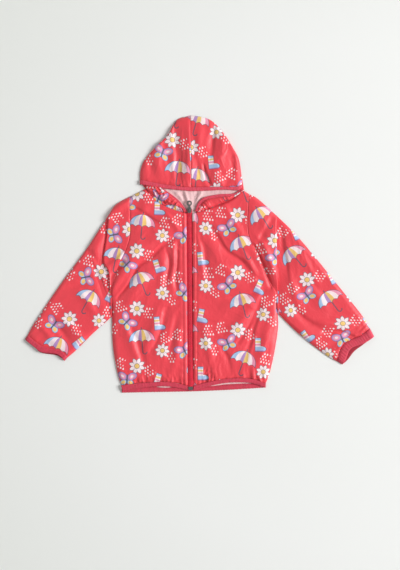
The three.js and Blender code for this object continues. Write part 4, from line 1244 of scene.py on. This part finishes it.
def make_cuffs(sizes):
    """Elastic cuffs: short tubes, gathered, with their mouths a little open."""
    count = 90
    share = np.linspace(0, 1, 9)[:, None]
    v = share[..., None]
    tuck = 1.3 * np.sin(np.pi * np.linspace(0, 1, count + 1))[:, None] ** 0.5
    for side in TABLES:
        t = TABLES[side]
        seam, edge, gap = run(t["seam"], count), run(t["cuff"], count), mouth_gap(side, count)
        if side == "left":
            seam, edge, gap = seam[::-1], edge[::-1], gap[::-1]
        grid = edge * (1 - v) + seam * v
        inward = (seam - edge) / np.linalg.norm(seam - edge, axis=1)[:, None]
        # The upper layer stops short of the lower one, and is tucked in under the sleeve's end.
        near = (edge + gap) * (1 - v) + (seam + 0.85 * gap + tuck * inward) * v
        lift = risen(from_sides(grid), 9)
        along = lengths(edge)
        pucker = 0.35 * np.sin(2 * np.pi * along / 5.2 + 1.5 * np.sin(along / 9))
        swell = 0.9 * np.sin(np.pi * share) ** 0.6 + 0.5 * bell(share, 0.2)
        swell = swell - 1.1 * smooth((share - 0.85) / 0.15) + pucker * np.sin(np.pi * share)
        z = EDGE_LEVEL + (sizes.sleeve_top / MM - 2.2 + swell) * lift
        low = EDGE_LEVEL * (1 - lift) + (0.9 + 0.5 * (1 - share) + 0.3 * pucker) * lift
        uv = np.stack(np.broadcast_arrays(along, share * CUFF_DEPTH), -1)
        top = keep_surface(side + "_cuff", with_height(near, z))
        grids = [(top, uv, False), (with_height(grid, low), uv, True)]
        cut = (CUFF_DEPTH, 2 * along[-1])
        node = side + "_cuff_binding"
        # Its inner faces take the inside material, painted shade in the cuff's open mouth.
        sheet(side + "_cuff_elastic", node, "binding", grids, CUFF_LAYER, cut, inside="inside")


def make_hood(sizes):
    """Each half of the hood: an upper and an under layer, folded along the outline."""
    for side in TABLES:
        t = TABLES[side]
        right = side == "right"
        rim, middle = (0, -1) if right else (-1, 0)
        apart = np.array([-0.1 if right else 0.1, 0])
        low, high = run(t["hood_low"], 80), run(t["hood_high"], 80)

        def half(foot):
            seam = np.linspace(foot[-1] + apart, high[-1] + apart, 80)
            west, east = (low, seam) if right else (seam, low)
            return patch(west, east, eastwards(foot), eastwards(high), counts=(88, 66))

        def from_rim(grid):
            return np.minimum(away(grid, grid[:, rim][:, None]), away(grid, grid[-1:]))

        upper = half(run(t["mouth"], 60))
        lower = half(np.concatenate([run(t["corner"], 6), run(t["back_neck"], 60)]))
        x, y = upper[..., 0], upper[..., 1]
        from_seam, from_mouth = away(upper, upper[:, middle][:, None]), away(upper, upper[:1])
        lift = risen(from_rim(upper), 14)
        peak = sizes.hood_top / MM - 0.45 * bell(from_seam, 1.9) - 1.4 * bell(from_mouth, 5)
        add = creases(x, y, sizes.seed) * sizes.crumple
        add = add + 1.1 * gather(x, y, sizes) * bell(from_mouth, 14, 1.5)
        z = FOLD_LEVEL + np.maximum((peak - FOLD_LEVEL + add) * lift, 1.6 * lift)
        top = keep_surface(side + "_hood", with_height(upper, z))
        bottom = with_height(lower, under_layer(from_rim(lower)))
        bottom[:, rim, 2] = top[:, rim, 2]
        bottom[-1, :, 2] = top[-1, :, 2]
        place = np.array(PRINT_AT[side + "_hood"])
        grids = [(top, upper + place, False), (bottom, lower * [-1, 1] + place + HOOD_SHIFT, True)]
        size = np.ptp(upper.reshape(-1, 2), axis=0)
        cut = (2 * size[0], size[1])
        sheet(side + "_hood_cloth", side + "_hood", "shell", grids, sizes.cloth, cut)


def make_neck(sizes):
    """The strips of hood between the neck's seam and the opening, crumpled."""
    for side in TABLES:
        t = TABLES[side]
        right = side == "right"
        # How far the strip goes under the binding, as a share of the binding's width
        cover = 0.55 if right else 0.25
        neck = run(t["neck"], 120)
        edge = run(t["neck_seam"], 60) * (1 - cover) + run(t["neck_edge"], 60) * cover
        end = int(np.argmin(np.linalg.norm(neck - edge[-1], axis=1)))
        seam = neck[: end + 1]
        if right:
            # Here the strip runs on to the hood's corner.
            seam = np.concatenate([[(-117.5, 150.5)], seam[3:]])
            edge = np.concatenate([[(-86.0, 146.0)], edge])
        west, east = (seam[::-1], edge[::-1]) if right else (edge[::-1], seam[::-1])
        south, north = (np.linspace(west[k], east[k], 9) for k in (0, -1))
        grid = patch(west, east, south, north, 1.3)
        x, y = grid[..., 0], grid[..., 1]
        u = np.linspace(0, 1, grid.shape[1])[None]
        inner = u if right else 1 - u
        crushed = sharp_noise(x * 0.8 + y * 0.6, y * 0.8 - x * 0.6, 7.5, 33, 2.4)
        small = sharp_noise(x * 0.5 - y * 0.9, x * 0.9 + y * 0.5, 4.4, 35, 2.4)
        # Crumpled between its edges, drawn in at the neck's seam, and turned down at the opening
        z = 7.0 + creases(x, y, sizes.seed) * (1 - 0.7 * inner)
        z = z + (0.4 + 3.8 * crushed + 1.9 * small) * np.sin(np.pi * u)
        z = z + smooth((inner - 0.6) / 0.4) * (1.5 + 0.8 * crushed)
        z = z - 1.6 * bell(away(grid, grid[:, :1] if right else grid[:, -1:]), 2.2)
        z = np.maximum(z, 4.6 + 3.6 * smooth((inner - 0.7) / 0.25)) - 0.9 * smooth((inner - 0.93) / 0.07)
        squeezed = grid * 1.15 + 5 * lattice_noise(x, y, 11, 37)[..., None] + PRINT_AT["neck"]
        grids = [(with_height(grid, z), squeezed, False)]
        wide = np.linalg.norm(grid[:, -1] - grid[:, 0], axis=1).max()
        cut = (wide, max(length_of(west), length_of(east)))
        sheet(side + "_neck_cloth", side + "_hood_side", "shell", grids, sizes.cloth, cut)


def binding_strip(inner, outer, level, rise, thick, seed, dip):
    """A folded elastic binding between two lines: a soft flattened roll with puckers across it.

    It lies at a level that rises away from its ends, and may dip along its inner edge.
    """
    count = max(8, int(length_of(inner) / RING_SPACING))
    a, b = even(inner, count), even(outer, count)
    along = lengths(a)
    uneven = 1.6 * np.sin(along / 11 + seed) + 0.9 * np.sin(along / 4.3)
    wave = np.sin(2 * np.pi * along / PUCKER_PITCH + uneven)
    level = level + rise * risen(np.minimum(along, along[-1] - along), 14)
    rings = []
    for across, up in BINDING_SECTION:
        plan = a + (b - a) * (across + (0.02 * wave[:, None] if across > 0.8 else 0))
        up = up - dip * bell(across - 0.06, 0.14) * (up > 0.3)
        pucker = PUCKER_HEIGHT * (0.4 + 0.6 * math.sin(math.pi * across)) * (1 if up > 0.3 else 0.2)
        rings.append(with_height(plan[None], level + thick * up + pucker * wave)[0])
    points = np.stack(rings, 1)
    around = lengths(points[len(points) // 2])
    uv = np.stack(np.broadcast_arrays(along[:, None], around), -1)
    return points, uv, (around[-1], along[-1])


def make_bindings():
    """Bindings along the hem, the hood's mouth and the neck opening."""
    jobs = []
    for side, t in TABLES.items():
        hem, bound = (eastwards(run(t[key], 90)) for key in ("hem", "bound"))
        edge, seam = (eastwards(run(t[key], 70)) for key in ("neck_edge", "neck_seam"))
        jobs.append((side + "_hem", moved(hem, 0.1), bound, 3.0, 0.0, 3.2))
        jobs.append((side + "_neck", edge, seam, 4.5, 0.0, 2.9))
    jobs.append(("back_hem", moved(run(BACK_HEM, 90), 0.1), run(BACK_BOUND, 90), 0.05, 0.0, 2.6))
    jobs.append(("mouth", moved(joined("mouth", 60), 0.1), joined("mouth_edge", 60), 2.0, 3.0, 3.0))
    for seed, (name, *shape) in enumerate(jobs):
        points, uv, cut = binding_strip(*shape, seed, 0.6 if name == "back_hem" else 0.0)
        cloth = "binding" if "hem" in name else "edge"
        grids = [(points, uv, False)]
        sheet(name + "_elastic", name + "_binding", "binding", grids, ELASTIC_LAYER, cut, cloth)


def make_linings():
    """The jersey lining in the neck opening and under the hem."""
    west = np.linspace((-164, -285), (-146, 124), 60)
    east = np.linspace((137, -281.5), (97, 130), 60)
    south, north = run(LINING_HEM, 60), run(LINING_NECK, 60)
    west[0], east[0] = south[0], south[-1]
    grid = patch(west, east, south, north, 4.0)
    x, y = grid[..., 0], grid[..., 1]
    # One soft fold runs up through the neck opening.
    ridge = bell(x + 33 - (y - 112) * 0.4, 3.5) * smooth((y - 88) / 10)
    points = with_height(grid, 2.4 + 0.3 * lattice_noise(x, y, 20, 41) + 0.5 * ridge)
    sheet("back_lining_cloth", "back_lining", "lining", [(points, grid, False)], LAYER)
    south, north = run(HOOD_LINING_FOOT, 90), run(HOOD_LINING_TOP, 60)
    west, east = (np.linspace(south[k], north[k], 30) for k in (0, -1))
    grid = patch(west, east, south, north, 1.6)
    x, y = grid[..., 0], grid[..., 1]
    opening = np.concatenate([run(RIGHT["neck_edge"], 30), run(LEFT["neck_edge"], 30)[::-1]])
    inside, _ = from_line(x, y, opening)
    # The folds fade at the bindings, and are weaker under the hood's mouth.
    free = smooth(inside / 7) * (1 - 0.6 * smooth((y - 132) / 8))
    add = 0.7 + 0.45 * lattice_noise(x * 0.7, y, 12, 47) + 0.5 * lattice_noise(x, y * 0.8, 5.5, 49)
    add = add + 1.7 * folds(x, y, LINING_FOLDS)
    points = with_height(grid, 3.3 + np.clip(add, -1.0, 3.2) * free)
    sheet("hood_lining_cloth", "hood_lining", "lining", [(points, grid, False)], LAYER)


def zip_x(y):
    """Where the zip's middle lies at a height up the jacket."""
    return -19.6 - 2.8 * (y + 299) / 388


def bar_faces(count):
    """Faces of a number of bars, each with its eight corners in turn."""
    return [tuple(corner + 8 * k for corner in face) for k in range(count) for face in BAR_FACES]


def make_zip(sizes):
    """Tapes with their woven faces, and the coil's teeth meeting in the middle."""
    share, half_gap = np.linspace(0, 1, 9)[None], 0.12
    y = np.linspace(*TAPE_ENDS, 200)
    reach = np.where((y < -286) | (y > 87), TAPE_END_REACH, TAPE_REACH)[:, None]
    for side, sign in (("right", -1), ("left", 1)):
        x = zip_x(y)[:, None] + sign * (half_gap + share * (reach - half_gap))
        raised = 0.75 * smooth((4.2 - share * reach) / 1.4)
        z = TAPE_LEVEL + raised + 0.05 * np.sin(y / 9)[:, None]
        points = np.stack([x, np.broadcast_to(y[:, None], x.shape), z], -1)
        if sign < 0:
            points = points[:, ::-1]
        grids = [(points, points[..., [1, 0]], False)]
        sheet(side + "_tape_weave", side + "_zip_tape", "zip_tape", grids, ELASTIC_LAYER, cloth="tape")
    pitch = sizes.tooth / MM
    teeth = []
    for k, y in enumerate(np.arange(*TEETH_ENDS, pitch / 2)):
        middle = [zip_x(y) + (1.15 if k % 2 else -1.15), y, TEETH_LEVEL]
        teeth.append(BAR_CORNERS * [1.7, pitch * 0.235, 0.62] + middle)
    points, faces = np.concatenate(teeth), bar_faces(len(teeth))
    obj = object_from("zip_teeth", points, faces, points[:, [1, 0]], materials()["chain"], weld=False)
    shade_smoothly(obj.data, False)
    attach(obj, BODY)
    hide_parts("zip_chain")


def make_metal():
    """Slider, pull tab and bottom stop: the solids themselves, with softened edges."""
    for node, body in (("zip_slider", BODY), ("pull_tab", "pull_tab"), ("zip_bottom_stop", BODY)):
        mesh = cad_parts[node].data.copy()
        made = bmesh.new()
        made.from_mesh(mesh)
        bmesh.ops.remove_doubles(made, verts=made.verts, dist=2e-5)
        bmesh.ops.dissolve_limit(made, angle_limit=math.radians(2), verts=made.verts, edges=made.edges)
        sharp = [e for e in made.edges if len(e.link_faces) == 2 and e.calc_face_angle(0) > SHARP]
        rounding = {"offset": 0.22 * MM, "segments": 2, "profile": 0.6}
        bmesh.ops.bevel(made, geom=sharp, affect="EDGES", clamp_overlap=True, **rounding)
        made.to_mesh(mesh)
        made.free()
        obj = linked(node + "_cast", mesh)
        mesh.materials.clear()
        mesh.materials.append(materials()["metal"])
        shade_smoothly(mesh, False)
        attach(obj, body)
        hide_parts(node)


def stitches(line, sizes):
    """Corners of a row of stitches along a line of 3-D points."""
    count = max(2, int(length_of(line) / (sizes.stitch / MM * STITCH_GAP)))
    points = even(line, count * 2)
    up = np.array([0, 0, 1.0])
    corners = []
    for start, end in zip(points[:-1:2], points[1::2]):
        end = start + (end - start) * 1.25
        along = (end - start) / max(np.linalg.norm(end - start), 1e-6)
        across = np.array([-along[1], along[0], 0.0])
        across /= max(np.linalg.norm(across), 1e-6)
        middle = (start + end) / 2
        for place, side in ((start, -1), (end, -1), (end, 1), (start, 1)):
            corners.append(place + across * (0.12 * side) - up * 0.15)
        for way, side in ((-1, -1), (1, -1), (1, 1), (-1, 1)):
            corners.append(middle + along * (0.8 * way) + across * (0.26 * side) + up * 0.22)
    return corners


def on_surface(name, row, column):
    """Points on a kept surface, at rows and columns given as shares."""
    points = SURFACES[name]
    row, column = np.broadcast_arrays(row, column)
    j, i = row * (points.shape[0] - 1), column * (points.shape[1] - 1)
    j0 = np.minimum(j.astype(int), points.shape[0] - 2)
    i0 = np.minimum(i.astype(int), points.shape[1] - 2)
    fj, fi = (j - j0)[:, None], (i - i0)[:, None]
    low = points[j0, i0] * (1 - fi) + points[j0, i0 + 1] * fi
    high = points[j0 + 1, i0] * (1 - fi) + points[j0 + 1, i0 + 1] * fi
    return low * (1 - fj) + high * fj


def make_stitching(sizes):
    """Topstitching beside the zip, the armholes and the hood's mouth, and over the hem and cuffs."""
    t = np.linspace(0, 1, 220)
    arm = 0.42 + 0.58 * t
    lines = []
    for side in TABLES:
        front = SURFACES[side + "_front"]
        wide = np.linalg.norm(front[:, -1, :2] - front[:, 0, :2], axis=1)

        def inset(rows, distance):
            """The share of the front's width that a distance in millimetres makes, row by row."""
            return distance / np.interp(rows, np.linspace(0, 1, len(wide)), wide)

        by_zip, by_arm = inset(t, 9.0), inset(arm, 3.2)
        if side == "right":
            by_zip = 1 - by_zip
        else:
            by_arm = 1 - by_arm
        lines.append(on_surface(side + "_front", t * 0.985 + 0.006, by_zip))
        lines.append(on_surface(side + "_front", 0.006, t * 0.97 + 0.015))
        lines.append(on_surface(side + "_front", arm, by_arm))
        lines.append(on_surface(side + "_sleeve", 0.008, t * 0.94 + 0.03))
        lines.append(on_surface(side + "_cuff", 0.72, t * 0.94 + 0.03) + [0, 0, 0.1])
        lines.append(on_surface(side + "_hood", 0.012, t * 0.95 + 0.025))
    points = np.array([corner for line in lines for corner in stitches(line + [0, 0, 0.05], sizes)])
    faces = bar_faces(len(points) // 8)
    obj = object_from("topstitching", points, faces, points[:, :2], materials()["thread"], weld=False)
    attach(obj, BODY)


def floor_material(shade):
    """A plain floor with painted shade that darkens it away from the lamp, and a softly glowing wall far
    off whose glow is painted light.
    """
    material, w, surface = new_material("floor")
    place = w.get("Object", "ShaderNodeTexCoord")
    soft = w.get("Fac", "ShaderNodeTexNoise", {"Vector": place, "Scale": 1.3, "Detail": 2.0})
    x, y = w.split(place)
    # Painted shade: darker with the distance from a place below the jacket, and mottled a little
    painted_shade_and_mottle = w.math("MULTIPLY", w.distance(x - 0.3, y + 0.1) - 0.55, 1.7, clamp=True)
    painted_shade_and_mottle = w.math("ADD", painted_shade_and_mottle * 0.7, soft * 0.2, clamp=True)
    w.put(surface.inputs["Base Color"], w.mix(painted_shade_and_mottle, rgba(shade), rgba(shade, (0.87, 0.89, 0.85))))
    surface.inputs["Roughness"].default_value = 0.7
    # Painted light: a glow that lights the wall, starting 5 metres out
    wall = w.math("MULTIPLY", w.distance(x, y) - 5.0, 0.16, clamp=True)
    w.put(surface.inputs["Emission Color"], w.mix(wall * wall, (0, 0, 0, 1), rgba(shade)))
    surface.inputs["Emission Strength"].default_value = 0.42
    return material


def make_floor(shade):
    """A round floor, flat below the jacket, that bends up into a wall far outside the picture."""
    turns, reach = 64, np.array(FLOOR_RINGS)[:, None]
    bend = np.clip((reach - FLAT_FLOOR) / (FLOOR_RINGS[-1] - FLAT_FLOOR), 0, 1)
    lift = 6 * (1 - np.cos(bend * np.pi / 2)) - FLOOR_DROP
    angle = np.linspace(0, 2 * np.pi, turns + 1)
    rings = np.stack(np.broadcast_arrays(reach * np.cos(angle), reach * np.sin(angle), lift), -1)
    faces = [list(face) for face in grid_faces(len(reach), turns + 1, flip=True)]
    mesh = bpy.data.meshes.new("floor")
    mesh.from_pydata(rings.reshape(-1, 3).tolist(), [], faces + [list(range(turns))])
    shade_smoothly(mesh)
    mesh.materials.append(floor_material(shade))
    linked("floor", mesh)


def make_stage():
    """Camera, floor and soft light."""
    scene = bpy.context.scene
    scene.view_settings.view_transform = "Standard"
    scene.camera = linked("camera", bpy.data.cameras.new("camera"))
    scene.camera.location = CAMERA_PLACE
    scene.camera.data.lens = LENS
    scene.camera.data.sensor_width = SENSOR_WIDTH
    make_floor(scene.jacket_colours.floor)
    for name, (x, y, z), size, power in LAMPS:
        lamp = bpy.data.lights.new(name, "AREA")
        lamp.energy, lamp.size = power, size
        obj = linked(name, lamp)
        obj.location = (x, y, z)
        obj.rotation_euler = (math.atan2(math.hypot(x, y), z), 0, math.atan2(-y, -x) - math.pi / 2)
    scene.world = bpy.data.worlds.new("studio")
    scene.world.use_nodes = True
    back = scene.world.node_tree.nodes["Background"]
    back.inputs["Color"].default_value = (0.96, 0.96, 0.95, 1)
    back.inputs["Strength"].default_value = 0.25


# Operators and panel


class JACKET_OT_stage(bpy.types.Operator):
    """Make the camera, the floor and the lights"""

    bl_idname = "jacket.stage"
    bl_label = "Stage"

    def execute(self, context):
        make_stage()
        return {"FINISHED"}


class JACKET_OT_fronts(bpy.types.Operator):
    """Make the two fronts"""

    bl_idname = "jacket.fronts"
    bl_label = "Fronts"

    def execute(self, context):
        make_fronts(context.scene.jacket_sizes)
        return {"FINISHED"}


class JACKET_OT_back(bpy.types.Operator):
    """Make the back panel"""

    bl_idname = "jacket.back"
    bl_label = "Back"

    def execute(self, context):
        make_back()
        return {"FINISHED"}


class JACKET_OT_sleeves(bpy.types.Operator):
    """Make the two sleeves"""

    bl_idname = "jacket.sleeves"
    bl_label = "Sleeves"

    def execute(self, context):
        make_sleeves(context.scene.jacket_sizes)
        return {"FINISHED"}


class JACKET_OT_cuffs(bpy.types.Operator):
    """Make the two elastic cuffs"""

    bl_idname = "jacket.cuffs"
    bl_label = "Cuffs"

    def execute(self, context):
        make_cuffs(context.scene.jacket_sizes)
        return {"FINISHED"}


class JACKET_OT_hood(bpy.types.Operator):
    """Make the two halves of the hood"""

    bl_idname = "jacket.hood"
    bl_label = "Hood"

    def execute(self, context):
        make_hood(context.scene.jacket_sizes)
        return {"FINISHED"}


class JACKET_OT_neck(bpy.types.Operator):
    """Make the strips of hood beside the opening"""

    bl_idname = "jacket.neck"
    bl_label = "Neck"

    def execute(self, context):
        make_neck(context.scene.jacket_sizes)
        return {"FINISHED"}


class JACKET_OT_linings(bpy.types.Operator):
    """Make the lining where it shows"""

    bl_idname = "jacket.linings"
    bl_label = "Linings"

    def execute(self, context):
        make_linings()
        return {"FINISHED"}


class JACKET_OT_bindings(bpy.types.Operator):
    """Make the elastic bindings"""

    bl_idname = "jacket.bindings"
    bl_label = "Bindings"

    def execute(self, context):
        make_bindings()
        return {"FINISHED"}


class JACKET_OT_zip(bpy.types.Operator):
    """Make the zip's tapes and teeth"""

    bl_idname = "jacket.zip"
    bl_label = "Zip"

    def execute(self, context):
        make_zip(context.scene.jacket_sizes)
        return {"FINISHED"}


class JACKET_OT_metal(bpy.types.Operator):
    """Make the slider, the pull tab and the stop"""

    bl_idname = "jacket.metal"
    bl_label = "Zip metal"

    def execute(self, context):
        make_metal()
        return {"FINISHED"}


class JACKET_OT_stitching(bpy.types.Operator):
    """Make the topstitching, on pieces that are there already"""

    bl_idname = "jacket.stitching"
    bl_label = "Stitching"

    def execute(self, context):
        make_stitching(context.scene.jacket_sizes)
        return {"FINISHED"}


# The order of work: the stitches come last, because they lie on the other pieces
OPERATORS = (
    JACKET_OT_stage,
    JACKET_OT_fronts,
    JACKET_OT_back,
    JACKET_OT_sleeves,
    JACKET_OT_cuffs,
    JACKET_OT_hood,
    JACKET_OT_neck,
    JACKET_OT_linings,
    JACKET_OT_bindings,
    JACKET_OT_zip,
    JACKET_OT_metal,
    JACKET_OT_stitching,
)


class JACKET_PT_panel(bpy.types.Panel):
    """Lists the jacket's operators, sizes and colours"""

    bl_label = "Rain Jacket"
    bl_idname = "JACKET_PT_panel"
    bl_space_type = "VIEW_3D"
    bl_region_type = "UI"
    bl_category = "Rain Jacket"

    def draw(self, context):
        for made in OPERATORS:
            self.layout.operator(made.bl_idname)
        for group in (context.scene.jacket_sizes, context.scene.jacket_colours):
            for key in group.bl_rna.properties.keys():
                if key not in ("rna_type", "name"):
                    self.layout.prop(group, key)


CLASSES = (JacketSizes, JacketColours, *OPERATORS, JACKET_PT_panel)


def register():
    for item in CLASSES:
        bpy.utils.register_class(item)
    bpy.types.Scene.jacket_sizes = PointerProperty(type=JacketSizes)
    bpy.types.Scene.jacket_colours = PointerProperty(type=JacketColours)


def unregister():
    del bpy.types.Scene.jacket_colours
    del bpy.types.Scene.jacket_sizes
    for item in reversed(CLASSES):
        bpy.utils.unregister_class(item)


def main():
    """Makes the whole jacket."""
    register()
    for made in OPERATORS:
        group, name = made.bl_idname.split(".")
        getattr(getattr(bpy.ops, group), name)()


if __name__ == "__main__":
    main()
